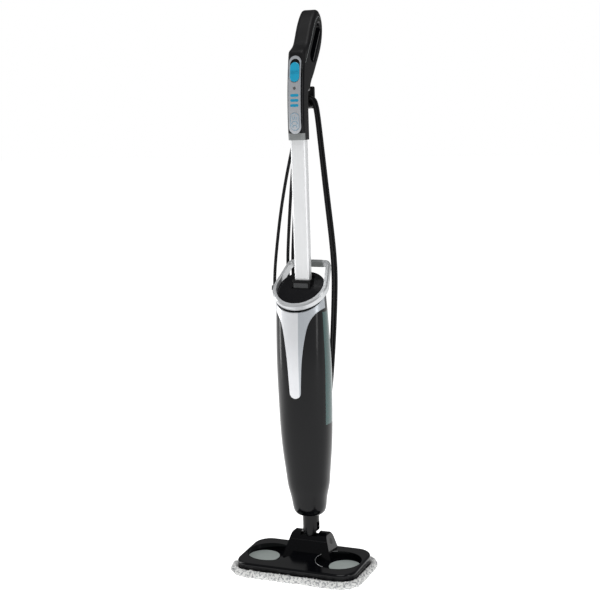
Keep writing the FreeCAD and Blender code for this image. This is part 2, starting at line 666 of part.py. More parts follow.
# ---- the carry ring, saddle and trim ------------------------------------------------------------------

def ring_outline(inset):
    """The ring seen square to its plane: round at the front, straight across the back."""
    wide, long, back_half, corner = size("ring_half_width"), size("ring_length"), 50.0, 16.0
    w, centre = wide - inset, wide
    front_radius = wide - inset
    left, right = V(-w, centre, 0), V(w, centre, 0)
    front = Part.Arc(left, V(0, centre - front_radius, 0), right).toShape()
    b, top, c = back_half - inset, long - inset, max(corner - inset, 5.0)
    run = V(b, top - c, 0) - right
    run.normalize()
    low_right = V(b, top - c, 0)
    high_right = V(b - c, top, 0)
    mid_right = V(b - c * 0.29289, top - c * 0.29289, 0)
    mirrored = [V(-p.x, p.y, 0) for p in (low_right, mid_right, high_right)]
    edges = [front, Part.LineSegment(right, low_right).toShape(),
             Part.Arc(low_right, mid_right, high_right).toShape(),
             Part.LineSegment(high_right, mirrored[2]).toShape(),
             Part.Arc(mirrored[2], mirrored[1], mirrored[0]).toShape(),
             Part.LineSegment(mirrored[0], left).toShape()]
    return Part.Face(Part.Wire(edges))


RIM_PLACE = FreeCAD.Placement(V(0, size("rim_depth"), size("rim_height")),
                              FreeCAD.Rotation(V(1, 0, 0), size("rim_tilt")))
half = size("ring_half")


def in_rim_plane(face, low, high):
    """A flat outline raised between two offsets from the tilted rim plane."""
    shape = face.copy()
    shape.translate(V(0, 0, low))
    shape = shape.extrude(V(0, 0, high - low))
    shape.Placement = RIM_PLACE
    return shape


BEVEL = 2.6


def bevelled_disc(inset, low, high):
    """The ring's outline as a disc in the rim plane, bevelled at both faces."""
    def wire(extra, offset):
        shape = ring_outline(inset + extra).OuterWire.copy()
        shape.translate(V(0, 0, offset))
        return shape
    stack = (wire(BEVEL, low), wire(0.0, low + BEVEL), wire(0.0, high - BEVEL), wire(BEVEL, high))
    shape = Part.makeLoft(list(stack), True, True)
    shape.Placement = RIM_PLACE
    return shape


ring = bevelled_disc(0.0, -half, half)
ring = ring.cut(in_rim_plane(ring_outline(size("ring_band")), -half - 1, half + 1))
grip_zone = block((-31, 31), (20, 70), (600, 720))
grip_core = in_rim_plane(ring_outline(2.0), -half + 2, half - 2).cut(
    in_rim_plane(ring_outline(size("ring_band") - 2), -half, half))
sleeve = ring.common(grip_zone).cut(grip_core)
feature("carry_ring", one_solid(ring.cut(sleeve)))
feature("ribbed_grip", one_solid(sleeve))

collar_hole = block((-size("collar_width") / 2 - 0.2, size("collar_width") / 2 + 0.2),
                    (-size("collar_depth") / 2 - 0.2, size("collar_depth") / 2 + 0.2), (500, 800))
saddle = outer.common(in_rim_plane(ring_outline(size("ring_band") + 0.3), -half, -1.5))
feature("saddle_cap", one_solid(saddle.cut(collar_hole)))

skin = body_form(-1.3).cut(outer).cut(above_rim(-half - 0.4))
tongue_outline = [
    (-90, 640), (-90, 585), (-60, 578), (-43, 566), (-32, 549), (-24, 520), (-17.5, 476), (-14, 430), (-12.6, 400)]
left_side = [V(x, -150, z) for x, z in tongue_outline]
left_curve = Part.BSplineCurve()
left_curve.interpolate(left_side[2:])
right_curve = Part.BSplineCurve()
right_curve.interpolate([V(-p.x, p.y, p.z) for p in left_side[2:]])
right_end = V(12.6, -150, 400)
tip = Part.Arc(left_side[-1], V(0, -150, 387.4), right_end).toShape()
closing = Part.makePolygon([left_side[2], left_side[1], left_side[0], V(90, -150, 640), V(90, -150, 585),
                            V(60, -150, 578)])
tongue_face = Part.Face(Part.Wire(Part.__sortEdges__(
    [left_curve.toShape(), tip, right_curve.toShape()] + closing.Edges)))
tongue = skin.common(tongue_face.extrude(V(0, 130, 0))).common(block(WIDE, (-150, -20), (300, 700)))
tongue = max(tongue.Solids, key=lambda s: s.Volume)
feature("silver_tongue", tongue)

# ---- the pole and its collar --------------------------------------------------------------------------

pole = slab("Pole", "Sizes.pole_width", "Sizes.pole_depth", "Sizes.pole_corner", size("pole_low"),
            "Sizes.pole_high - Sizes.pole_low")
pole_hollow = sketch_in(pole, "PoleHollow", "XY_Plane", size("pole_high"))
rounded_rectangle(pole_hollow, "Sizes.pole_width - 2 * Sizes.pole_wall", "Sizes.pole_depth - 2 * Sizes.pole_wall",
                  "Sizes.pole_corner - Sizes.pole_wall")
pole_pocket = pole.newObject("PartDesign::Pocket", "PolePocket")
pole_pocket.Profile = pole_hollow
pole_pocket.Type = "ThroughAll"
node(pole, "pole")
cable = primitive("Cylinder", "PoleCable", V(0, 0, 545), None, Radius="2.2", Height="450")
node(cable, "pole_cable")

collar = slab("Collar", "Sizes.collar_width", "Sizes.collar_depth", "7", size("collar_low"),
              "Sizes.collar_high - Sizes.collar_low")
collar_hollow = sketch_in(collar, "CollarHollow", "XY_Plane", size("collar_high"))
rounded_rectangle(collar_hollow, "Sizes.pole_width + 0.4", "Sizes.pole_depth + 0.4", "Sizes.pole_corner + 0.2")
collar_pocket = collar.newObject("PartDesign::Pocket", "CollarPocket")
collar_pocket.Profile = collar_hollow
collar_pocket.Type = "ThroughAll"
window = sketch_in(collar, "ReleaseWindow", "XZ_Plane", size("collar_depth"))
rounded_rectangle(window, "Sizes.release_width + 0.8", "Sizes.release_height + 0.8", "0.6",
                  (0.0, size("release_middle")))
window_pocket = collar.newObject("PartDesign::Pocket", "ReleasePocket")
window_pocket.Profile = window
bind(window_pocket, Length="Sizes.collar_depth")
node(collar, "pole_collar")

release_front = -size("collar_depth") / 2 - 0.6
release = block((-size("release_width") / 2, size("release_width") / 2), (release_front, -13.4),
                (size("release_middle") - size("release_height") / 2,
                 size("release_middle") + size("release_height") / 2))
for rib in (-2.4, 0.0, 2.4):
    level = size("release_middle") + rib
    release = release.cut(block((-13, 13), (release_front - 1, release_front + 0.5), (level - 0.5, level + 0.5)))
feature("pole_release_button", one_solid(release))


def ring_spring(start, end, outer, inner):
    """A small pressure spring as a plain sleeve."""
    return rod(start, end, outer).cut(rod(start, end, inner))


release_middle = size("release_middle")
feature("release_spring", ring_spring(V(0, -13.4, release_middle), V(0, -10.4, release_middle), 3.4, 2.4))

# ---- the handle ---------------------------------------------------------------------------------------

HALF = size("handle_half")
BOW, BOW_MIDDLE = size("handle_bow"), size("bow_middle")
FRONT, BACK = size("handle_front"), size("handle_back")


def front_y(z, depth=0.0):
    """The bowed front face's Y at this height, moved in by depth."""
    centre = FRONT + BOW
    return centre - math.sqrt((BOW - depth) ** 2 - (z - BOW_MIDDLE) ** 2)


# The loop's outline in the middle plane, as (Y, Z), from its front foot over the top and down its back.
LOOP = ((15, 1113), (35, 1140), (49, 1163), (64, 1180), (79, 1188.5), (94, 1181), (104, 1164), (105, 1142),
        (97, 1116), (81, 1091), (64, 1070), (48, 1051), (34, 1035), (23.5, 1020), (17.5, 1006))


def handle_form():
    """The whole handle: bowed housing below, closed loop leaning back above, with its edges rounded."""
    low, bow_top = size("handle_low"), 1098.0
    foot_front, top_front = V(0, front_y(low), low), V(0, front_y(bow_top), bow_top)
    bow = Part.Arc(foot_front, V(0, front_y(BOW_MIDDLE), BOW_MIDDLE), top_front).toShape()
    points = [top_front] + [V(0, y, z) for y, z in LOOP]
    loop = smooth_arcs(points, V(0, 0.21, 0.98), V(0, 0, -1))
    back = Part.LineSegment(points[-1], V(0, BACK, low)).toShape()
    foot = Part.LineSegment(V(0, BACK, low), foot_front).toShape()
    face = Part.Face(Part.Wire(Part.__sortEdges__([bow, back, foot] + loop)))
    solid = face.extrude(V(2 * HALF, 0, 0))
    solid.translate(V(-HALF, 0, 0))
    sides = [e for e in solid.Edges if e.BoundBox.XLength < 0.1 and e.BoundBox.ZLength > 20]
    solid = solid.makeFillet(size("handle_edge"), sides)
    slot_low, slot_high, slot_radius = V(0, 44.4, 1093), V(0, 82.0, 1149), 11.5
    along = V(60, 0, 0)
    across = (slot_high - slot_low)
    across.normalize()
    normal = across.cross(V(1, 0, 0)) * slot_radius
    corners = [slot_low + normal, slot_high + normal, slot_high - normal, slot_low - normal, slot_low + normal]
    slot = Part.Face(Part.makePolygon([c - along / 2 for c in corners])).extrude(along)
    for end in (slot_low, slot_high):
        slot = slot.fuse(rod(end - along / 2, end + along / 2, slot_radius))
    solid = solid.cut(slot.removeSplitter())
    rim = [e for e in solid.Edges if abs(abs(e.CenterOfMass.x) - HALF) < 0.01 and e.BoundBox.YMin > 30
           and e.BoundBox.YMax < 97 and e.BoundBox.ZMin > 1078 and e.BoundBox.ZMax < 1164]
    return solid.makeFillet(4.5, rim)


handle = handle_form()
housing_zone = block(WIDE, (-60, BACK + 0.01), (900, 1079)).fuse(block(WIDE, (-60, 60), (900, 1016)))
housing = handle.common(housing_zone)
loop_part = handle.cut(housing_zone)
cavity = block((-HALF + 2.4, HALF - 2.4), (FRONT + 7.5, BACK - 2.4), (939, 1066))
pole_space = block((-size("pole_width") / 2 - 0.2, size("pole_width") / 2 + 0.2),
                   (-size("pole_depth") / 2 - 0.2, size("pole_depth") / 2 + 0.2), (900, size("pole_high") + 0.3))
housing = housing.cut(cavity).cut(pole_space)


def bowed_zone(outline_solid, shallow, deep):
    """The part of an outline solid that lies between two depths below the bowed front face."""
    top = Part.makeCylinder(BOW - shallow, 200, V(-100, FRONT + BOW, BOW_MIDDLE), V(1, 0, 0))
    under = Part.makeCylinder(BOW - deep, 200, V(-100, FRONT + BOW, BOW_MIDDLE), V(1, 0, 0))
    return outline_solid.common(top).cut(under)


panel_middle = (size("panel_low") + size("panel_high")) / 2
panel_outline = pill(size("panel_width"), size("panel_high") - size("panel_low"), -60, 10, panel_middle)
slider_room = size("slider_length") + 2 * size("slider_travel") + 1
PROUD = -0.7
button_hole = pill(size("button_width") + 0.8, size("button_length") + 0.8, -60, 10, size("button_middle"))
slider_hole = pill(size("slider_width") + 1, size("slider_length") + size("slider_travel") + 1.6, -60, 10,
                   size("slider_middle") + size("slider_travel") / 2)
lamp_hole = rod(V(0, -60, size("lamp_height")), V(0, 10, size("lamp_height")), size("lamp_radius"))
lens_levels = [size("lens_middle") + step * size("lens_pitch") for step in (-1, 0, 1)]
lens_holes = [lying_pill(size("lens_length"), size("lens_height"), -60, 10, level) for level in lens_levels]
panel = bowed_zone(panel_outline, PROUD, size("panel_thick") + PROUD)
for hole in [button_hole, slider_hole, lamp_hole] + lens_holes:
    panel = panel.cut(hole)
feature("control_panel", one_solid(panel))
seat = bowed_zone(panel_outline, -5, size("panel_thick") + PROUD)
DEEP = 3.4
slider_seat = bowed_zone(slider_hole, -5, DEEP)
button_seat = bowed_zone(button_hole, -5, 5.0)
status_lens = bowed_zone(lamp_hole, PROUD - 0.3, size("panel_thick") + PROUD)
feature("status_lens", one_solid(status_lens))
feature("level_lenses", Part.makeCompound([one_solid(bowed_zone(h, PROUD - 0.3, size("panel_thick") + PROUD))
                                           for h in lens_holes]))
button = pill(size("button_width"), size("button_length"), -60, 10, size("button_middle"))
feature("steam_button", one_solid(bowed_zone(button, PROUD - 0.5, 3.0)))

spring_z = size("button_middle") - 9
spring_front = V(0, front_y(spring_z, 3.0) + 0.05, spring_z)
feature("button_spring", ring_spring(spring_front, spring_front + V(0, 1.85, 0), 4.0, 3.0))

slider_z = size("slider_middle")
slope = math.atan2(slider_z - BOW_MIDDLE, BOW)
slider = pill(size("slider_width"), size("slider_length"), -2.4, 1.6, 0.0)
slider = slider.makeFillet(0.9, [e for e in slider.Edges if e.BoundBox.YMax < -2.3])
for step in (-1.7, 1.7):
    ridge = block((-8.6, 8.6), (-3.3, -2.3), (step - 0.7, step + 0.7))
    slider = slider.fuse(ridge)
slider = one_solid(slider.removeSplitter())
slider_turn = FreeCAD.Rotation(V(1, 0, 0), -math.degrees(slope))
slider.Placement = FreeCAD.Placement(V(0, front_y(slider_z), slider_z), slider_turn)
feature("power_slider", slider)
slider_pocket = pill(size("slider_width") + 1, size("slider_length") + size("slider_travel") + 1.6, -30, 2.3,
                     size("slider_travel") / 2)
slider_pocket.Placement = slider.Placement

hook_height = size("hook_height")
hook_bore = rod(V(0, 0, hook_height), V(0, BACK + 1, hook_height), size("hook_spigot") + GAP)
collar_zone = block(WIDE, (-60, -9.5), (900, 937))
collar_part = housing.common(collar_zone)
for level in (925.5, 929.5, 933.5):
    collar_part = collar_part.cut(block(WIDE, (-60, FRONT + 1.0), (level, level + 1.4)))
feature("handle_collar", one_solid(collar_part.cut(seat)))
housing = housing.cut(collar_zone)
for space in (seat, slider_pocket, button_seat, hook_bore):
    housing = housing.cut(space)
handle_screw_places = [V(x, BACK - 1.2, 950) for x in (-8, 8)]
handle_screws = [screw(p, V(0, -1, 0), head=2.6, shank=1.2, length=5.6, head_height=1.6)
                 for p in handle_screw_places]
for p in handle_screw_places:
    housing = housing.cut(rod(p + V(0, 4, 0), p - V(0, 1.7, 0), 2.7)).cut(rod(p, p - V(0, 6, 0), 1.3))
feature("handle_screws", Part.makeCompound(handle_screws))
front_half = housing.common(block(WIDE, (-60, 0), (900, 1100)))
back_half = housing.common(block(WIDE, (0, 60), (900, 1100)))
feature("handle_front_shell", max(front_half.Solids, key=lambda s: s.Volume))
feature("handle_back_shell", max(back_half.Solids, key=lambda s: s.Volume))

GRIP_DEPTH = 9.0
grip_points = [V(0, front_y(1094) + GRIP_DEPTH, 1079)] + [
    V(0, y, z) for y, z in ((24, 1106), (43.5, 1134), (57, 1156), (68.5, 1169.5), (79, 1175), (88, 1173), (94, 1166))]
grip_close = Part.makePolygon([grip_points[-1], V(0, 125, 1185), V(0, 125, 1230), V(0, -60, 1230),
                               V(0, -60, 1079), grip_points[0]])
grip_zone = Part.Face(Part.Wire(Part.__sortEdges__(smooth_arcs(grip_points) + grip_close.Edges)))
grip_zone = grip_zone.extrude(V(120, 0, 0))
grip_zone.translate(V(-60, 0, 0))
loop_part = loop_part.cut(slider_pocket).cut(seat)
feature("soft_grip", max(loop_part.common(grip_zone).Solids, key=lambda s: s.Volume))
feature("grip_loop", max(loop_part.cut(grip_zone).Solids, key=lambda s: s.Volume))
feature("control_board", block((-11, 11), (-8.6, -7.2), (1003, 1050)))

hook_inner, hook_tip = size("hook_inner"), size("hook_tip")
hook = rod(V(0, BACK + 0.1, hook_height), V(0, hook_tip, hook_height), size("hook_radius"))
hook = hook.fuse(rod(V(0, BACK + 0.1, hook_height), V(0, BACK + 2.6, hook_height), 11))
hook = hook.fuse(rod(V(0, BACK - 2.4 - 1.2, hook_height), V(0, BACK + 1, hook_height), size("hook_spigot")))
finger = block((-8, 8), (hook_inner, hook_tip), (hook_height - 7, hook_height + 39))
finger_edges = [e for e in finger.Edges if e.BoundBox.ZMin > hook_height + 38 or e.BoundBox.ZLength > 40]
finger = finger.makeFillet(3.3, finger_edges)
feature("upper_cord_hook", one_solid(hook.fuse(finger).removeSplitter()))
feature("hook_retainer", rod(V(0, BACK - 5.4, hook_height), V(0, BACK - 3.6, hook_height), 6.4))

# ---- the mains lead -------------------------------------------------------------------------------------

CORD = size("cord_diameter")
LANE = size("lane_middle")
# The band's middle line on each side, as (X, Z).
RIGHT_RUN = ((18.5, 975), (25, 902), (34, 802), (44, 701), (47, 640), (45, 583), (39, 490), (31, 400), (22, 335))
LEFT_RUN = ((-23, 335), (-36, 400), (-46, 490), (-53, 583), (-55, 650), (-52, 701), (-43, 802), (-32, 902), (-20, 975))


def round_hook(height, radius, first, last):
    """Three points of the band where it goes round a hook's stem."""
    angles = [math.radians(first + (last - first) * step / 4) for step in range(5)]
    return tuple((radius * math.cos(a), height + radius * math.sin(a)) for a in angles)


BAND_CLEAR = size("band_width") / 2 + 0.5
BAND = (round_hook(size("hook_height"), size("hook_radius") + BAND_CLEAR, 180, 0) + RIGHT_RUN
        + round_hook(size("low_hook_height"), size("low_hook_radius") + BAND_CLEAR, 0, -180) + LEFT_RUN)


def winding():
    """The wound turns as one closed band over the two hooks."""
    wide, deep = size("band_width"), size("lane_depth")
    outer_points, inner_points = [], []
    count = len(BAND)
    for number, (x, z) in enumerate(BAND):
        before, after = BAND[number - 1], BAND[(number + 1) % count]
        along = V(after[0] - before[0], 0, after[1] - before[1])
        along.normalize()
        side = V(along.z, 0, -along.x)
        outer_points.append(V(x, 0, z) - side * (wide / 2))
        inner_points.append(V(x, 0, z) + side * (wide / 2))
    solids = []
    for points in (outer_points, inner_points):
        curve = Part.BSplineCurve()
        curve.interpolate([p + V(0, LANE - deep / 2, 0) for p in points], PeriodicFlag=True)
        solids.append(Part.Face(Part.Wire([curve.toShape()])).extrude(V(0, deep, 0)))
    larger, smaller = sorted(solids, key=lambda s: -s.Volume)
    return larger.cut(smaller)


feature("cord_winding", one_solid(winding()))
TAIL = [gland_tip, gland_tip + gland_direction * 24, V(20.5, 64.5, 278), V(22.5, 62, 306), V(27, 60, 338)]
feature("cord_tail", tube("cord_tail", TAIL, CORD, report=True))
LEAD = [V(-20, 49, 978), V(-28, 41.5, 926), V(-40, 35.5, 872), V(-51, 31, 818), V(-61, 28, 762), V(-69, 26, 706),
        V(-76, 25, 652), V(-80, 26.5, 604), V(-76.5, 29, 576), V(-71, 31, 556)]
feature("cord_lead", tube("cord_lead", LEAD, CORD, report=True))
clip_place, clip_turn = V(-80, 26.3, 606), FreeCAD.Rotation(V(0, 0, 1), LEAD[7] - LEAD[6])
clip = Part.makeCylinder(5.6, 9, V(0, 0, -4.5)).fuse(Part.makeBox(9, 5, 5, V(-13, -2.5, -2.5)))
clip = clip.cut(Part.makeCylinder(CORD / 2, 9, V(0, 0, -4.5))).removeSplitter()
clip = clip.cut(Part.makeBox(10, 3, 9, V(3, -1.5, -4.5)))
clip.Placement = FreeCAD.Placement(clip_place, clip_turn)
feature("cord_clip", one_solid(clip))
plug_top = LEAD[-1]
plug_axis = plug_top - LEAD[-2]
plug_axis.normalize()
plug_turn = FreeCAD.Rotation(V(0, 0, 1), plug_axis)
plug = Part.makeBox(16, 26, 34, V(-8, -13, 12))
plug = plug.makeFillet(6, [e for e in plug.Edges if e.BoundBox.ZLength > 30])
sleeve_part = turned(V(), V(0, 0, 1), [(0, 0), (4.6, 0), (6.6, 13), (0, 13)])
plug = one_solid(plug.fuse(sleeve_part).removeSplitter())
plug.Placement = FreeCAD.Placement(plug_top, plug_turn)
feature("plug_body", plug)
pins = []
for side in (-1, 1):
    start = plug.Placement.multVec(V(0, side * 8.5, 46))
    end = plug.Placement.multVec(V(0, side * 8.5, 65))
    pins.append(rod(start, end, 2.2))
feature("plug_pins", Part.makeCompound(pins))

# ---- check and write --------------------------------------------------------------------------------------

doc.recompute()
for thing in doc.Objects:
    if any(word in ("Invalid", "Error") for word in thing.State):
        raise RuntimeError(f"{thing.Label}: {thing.State}")
os.makedirs("parts", exist_ok=True)
for thing in nodes:
    shape = thing.Shape
    if shape.isNull() or not shape.isValid():
        raise RuntimeError(f"{thing.Label}: no valid shape")
    shape.exportStep(f"parts/{thing.Label}.step")
print(len(nodes), "sub-parts written")
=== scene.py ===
"""Looks of the upright steam mop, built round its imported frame. Lengths are metres."""

import logging
import math
from dataclasses import dataclass, field
from enum import Enum
from typing import Any, Iterable, Sequence, Union

import bmesh
import bpy
from mathutils import Matrix, Vector, noise


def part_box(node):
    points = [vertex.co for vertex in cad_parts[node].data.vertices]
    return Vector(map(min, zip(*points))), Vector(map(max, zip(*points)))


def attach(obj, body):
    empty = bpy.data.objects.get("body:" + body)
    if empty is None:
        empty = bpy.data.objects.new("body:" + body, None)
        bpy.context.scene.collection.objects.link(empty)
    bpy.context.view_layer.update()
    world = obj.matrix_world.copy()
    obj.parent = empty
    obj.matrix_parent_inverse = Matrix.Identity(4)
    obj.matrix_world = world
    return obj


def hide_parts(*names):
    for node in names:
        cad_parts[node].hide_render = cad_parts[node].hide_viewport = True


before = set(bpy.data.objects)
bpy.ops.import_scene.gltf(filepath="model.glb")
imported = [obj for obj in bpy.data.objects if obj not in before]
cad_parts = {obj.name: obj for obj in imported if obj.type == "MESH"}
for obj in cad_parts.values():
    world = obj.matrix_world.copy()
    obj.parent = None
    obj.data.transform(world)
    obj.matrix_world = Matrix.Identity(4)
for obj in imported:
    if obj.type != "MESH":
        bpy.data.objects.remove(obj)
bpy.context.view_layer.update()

LOG = logging.getLogger("steam_mop")
MM = 0.001
Point = tuple[float, float, float]
Colour = tuple[float, float, float]


# ---- shader building -------------------------------------------------------------------------------------


class Term:
    """A number on a shader's wire; arithmetic on it adds Math nodes."""

    def __init__(self, shader: "Shader", socket: bpy.types.NodeSocket) -> None:
        """Hold the shader and the socket that carries the number."""
        self.shader = shader
        self.socket = socket

    def _math(self, operation: str, first: Any, second: Any) -> "Term":
        """One Math node on two values.

        Args:
            operation: the Math node's operation.
            first: a Term or a number.
            second: a Term or a number.

        Returns:
            The node's result.
        """
        made = self.shader.node("ShaderNodeMath", {"operation": operation}, {0: first, 1: second})
        return Term(self.shader, made.outputs[0])

    def __add__(self, other: Any) -> "Term":
        """Sum."""
        return self._math("ADD", self, other)

    def __radd__(self, other: Any) -> "Term":
        """Sum, with the number first."""
        return self._math("ADD", other, self)

    def __sub__(self, other: Any) -> "Term":
        """Difference."""
        return self._math("SUBTRACT", self, other)

    def __rsub__(self, other: Any) -> "Term":
        """Difference, with the number first."""
        return self._math("SUBTRACT", other, self)

    def __mul__(self, other: Any) -> "Term":
        """Product."""
        return self._math("MULTIPLY", self, other)

    def __rmul__(self, other: Any) -> "Term":
        """Product, with the number first."""
        return self._math("MULTIPLY", other, self)

    def __truediv__(self, other: Any) -> "Term":
        """Quotient."""
        return self._math("DIVIDE", self, other)

    def __pow__(self, other: Any) -> "Term":
        """Power."""
        return self._math("POWER", self, other)

    def clamped(self, low: float, high: float) -> "Term":
        """This number squeezed from low..high to 0..1.

        Args:
            low: the value that becomes 0.
            high: the value that becomes 1.

        Returns:
            The squeezed number.
        """
        made = self.shader.node(
            "ShaderNodeMapRange",
            {"interpolation_type": "SMOOTHSTEP", "clamp": True},
            {"Value": self, "From Min": low, "From Max": high},
        )
        return Term(self.shader, made.outputs["Result"])


class Shader:
    """A material with one principled surface, and the one method that adds its other nodes."""

    def __init__(self, name: str) -> None:
        """Make the empty material.

        Args:
            name: the material's name.
        """
        self.material = bpy.data.materials.new(name)
        self.material.use_nodes = True
        self.tree = self.material.node_tree
        self.surface = self.tree.nodes["Principled BSDF"]
        self._place: Union[bpy.types.NodeSocket, None] = None

    def node(self, kind: str, settings: dict[str, Any], inputs: dict[Any, Any]) -> bpy.types.Node:
        """Add a node.

        Args:
            kind: the node's type.
            settings: attributes to set first.
            inputs: values or links for its sockets, by name or number.

        Returns:
            The node.
        """
        made = self.tree.nodes.new(kind)
        for key, value in settings.items():
            setattr(made, key, value)
        for key, value in inputs.items():
            self._feed(made.inputs[key], value)
        return made

    def _feed(self, socket: bpy.types.NodeSocket, value: Any) -> None:
        """Link a Term or a socket, or set a constant."""
        if isinstance(value, Term):
            self.tree.links.new(value.socket, socket)
        elif isinstance(value, bpy.types.NodeSocket):
            self.tree.links.new(value, socket)
        elif socket.type == "RGBA" and len(value) == 3:
            socket.default_value = (*value, 1.0)
        else:
            socket.default_value = value

    def constants(self, **values: Any) -> None:
        """Set constants on the surface's own sockets; underscores stand for spaces."""
        for key, value in values.items():
            self._feed(self.surface.inputs[key.replace("_", " ")], value)

    def place(self) -> bpy.types.NodeSocket:
        """The point on the object, in metres."""
        if self._place is None:
            self._place = self.node("ShaderNodeTexCoord", {}, {}).outputs["Object"]
        return self._place

    def axis(self, number: int) -> Term:
        """One coordinate of the point: 0, 1 or 2."""
        return Term(self, self.node("ShaderNodeSeparateXYZ", {}, {0: self.place()}).outputs[number])

    def stretched(self, scale: Point) -> bpy.types.NodeSocket:
        """The point with each coordinate scaled.

        Args:
            scale: the three factors.

        Returns:
            The scaled point.
        """
        made = self.node("ShaderNodeMapping", {}, {"Vector": self.place(), "Scale": scale})
        return made.outputs["Vector"]

    def cloudy(self, scale: float, detail: float = 2.0, where: Any = None) -> Term:
        """Soft noise from 0 to 1.

        Args:
            scale: repeats per metre.
            detail: octaves.
            where: the point to read; the object's own point if None.

        Returns:
            The noise's value.
        """
        inputs = {"Vector": where or self.place(), "Scale": scale, "Detail": detail, "Roughness": 0.55}
        return Term(self, self.node("ShaderNodeTexNoise", {}, inputs).outputs[0])

    def cells(self, scale: float, where: Any = None) -> Term:
        """Distance to the nearest of many scattered cells."""
        inputs = {"Vector": where or self.place(), "Scale": scale}
        return Term(self, self.node("ShaderNodeTexVoronoi", {}, inputs).outputs["Distance"])

    def mixed(self, share: Any, first: Any, second: Any) -> bpy.types.NodeSocket:
        """A colour between two colours.

        Args:
            share: 0 for the first colour, 1 for the second.
            first: a colour or a colour socket.
            second: a colour or a colour socket.

        Returns:
            The mixed colour.
        """
        made = self.node("ShaderNodeMix", {"data_type": "RGBA"}, {"Factor": share})
        colours = [s for s in made.inputs if s.type == "RGBA"]
        self._feed(colours[0], first)
        self._feed(colours[1], second)
        return next(s for s in made.outputs if s.type == "RGBA")

    def bumped(self, height: Term, depth: float, strength: float = 1.0) -> None:
        """Raise the surface by a height pattern.

        Args:
            height: the pattern, 0 to 1.
            depth: how far it stands out, in metres.
            strength: the bump's weight.
        """
        inputs = {"Height": height, "Distance": depth, "Strength": strength}
        made = self.node("ShaderNodeBump", {}, inputs)
        self._feed(self.surface.inputs["Normal"], made.outputs[0])

    def vary(self, **values: Any) -> None:
        """Feed what changes over the surface; underscores stand for spaces."""
        self.constants(**values)


def shade(colour: Colour, factor: float) -> Colour:
    """A colour made darker or lighter."""
    return tuple(min(1.0, part * factor) for part in colour)


# ---- finishes --------------------------------------------------------------------------------------------


class Texture(Enum):
    """How a moulded plastic's skin is textured."""

    POLISHED = "polished"
    SATIN = "satin"
    SPARK_ERODED = "spark_eroded"


@dataclass(frozen=True)
class Finish:
    """A finish that makes its material once."""

    name: str

    def build(self, shader: Shader) -> None:
        """Fill the shader with this finish."""
        raise NotImplementedError

    def material(self) -> bpy.types.Material:
        """The finish's material, made on first use."""
        name = f"finish_{self.name}"
        made = bpy.data.materials.get(name)
        if made is None:
            shader = Shader(name)
            self.build(shader)
            made = shader.material
        return made


@dataclass(frozen=True)
class Plastic(Finish):
    """Moulded plastic with a faint unevenness and fine dust-like wear."""

    colour: Colour = (0.02, 0.02, 0.022)
    roughness: float = 0.25
    texture: Texture = Texture.SATIN
    coat: float = 0.0
    index: float = 1.45

    def build(self, shader: Shader) -> None:
        """Uneven gloss, a slight tone change and the mould's texture."""
        drift = shader.cloudy(26.0, 3.0)
        fine = shader.cloudy(900.0, 2.0)
        tone = shader.mixed(drift, shade(self.colour, 0.82), shade(self.colour, 1.22))
        spread = {Texture.POLISHED: 0.05, Texture.SATIN: 0.10, Texture.SPARK_ERODED: 0.14}[self.texture]
        uneven = (drift - 0.5) * spread + (fine - 0.5) * spread
        shader.vary(Base_Color=tone, Roughness=uneven + self.roughness)
        shader.constants(Coat_Weight=self.coat, Coat_Roughness=0.08, IOR=self.index)
        if self.texture is Texture.POLISHED:
            shader.bumped(shader.cloudy(55.0, 1.0), 0.00012, 0.35)
        elif self.texture is Texture.SATIN:
            shader.bumped(fine, 0.00005, 0.5)
        else:
            grain = shader.cells(1500.0) + fine * 0.5
            shader.bumped(grain, 0.00002, 0.3)


@dataclass(frozen=True)
class SilverPaint(Finish):
    """Metallic silver paint: tiny flakes under a soft lacquer."""

    colour: Colour = (0.62, 0.63, 0.65)
    # A painted shade colour, and the X from which it is painted.
    painted_shade_colour: Colour = (0.40, 0.42, 0.44)
    painted_shade_from_x: float = 10.0

    def build(self, shader: Shader) -> None:
        """Flakes, slow mottling and a painted shade: greyer past a line in X, for a facet in shade."""
        flake = shader.cells(2600.0)
        mottle = shader.cloudy(40.0, 2.0)
        # Painted shade: past a line in X the colour turns greyer, standing in for the tongue's right facet
        # turned from the light.
        side = shader.axis(0).clamped(self.painted_shade_from_x, self.painted_shade_from_x + 0.0015)
        light = shader.mixed(mottle, shade(self.colour, 0.94), shade(self.colour, 1.06))
        base = shader.mixed(side, light, self.painted_shade_colour)
        shader.vary(Base_Color=shader.mixed(flake * 0.4, base, shade(self.colour, 1.35)))
        shader.vary(Roughness=flake * 0.12 + 0.27)
        shader.constants(Metallic=0.72, Coat_Weight=0.35, Coat_Roughness=0.12)
        shader.bumped(flake, 0.00003, 0.4)


@dataclass(frozen=True)
class DrawnMetal(Finish):
    """Metal with fine lines along one axis."""

    colour: Colour = (0.8, 0.81, 0.82)
    roughness: float = 0.3
    metallic: float = 1.0
    along: Point = (900.0, 900.0, 14.0)

    def build(self, shader: Shader) -> None:
        """Drawn lines in tone, gloss and relief."""
        lines = shader.cloudy(1.0, 2.0, shader.stretched(self.along))
        smudge = shader.cloudy(18.0, 3.0)
        tone = shader.mixed(lines * 0.6 + smudge * 0.4, shade(self.colour, 0.88), shade(self.colour, 1.08))
        shader.vary(Base_Color=tone, Roughness=lines * 0.16 + smudge * 0.08 + (self.roughness - 0.12))
        shader.constants(Metallic=self.metallic)
        shader.bumped(lines, 0.00002, 0.5)


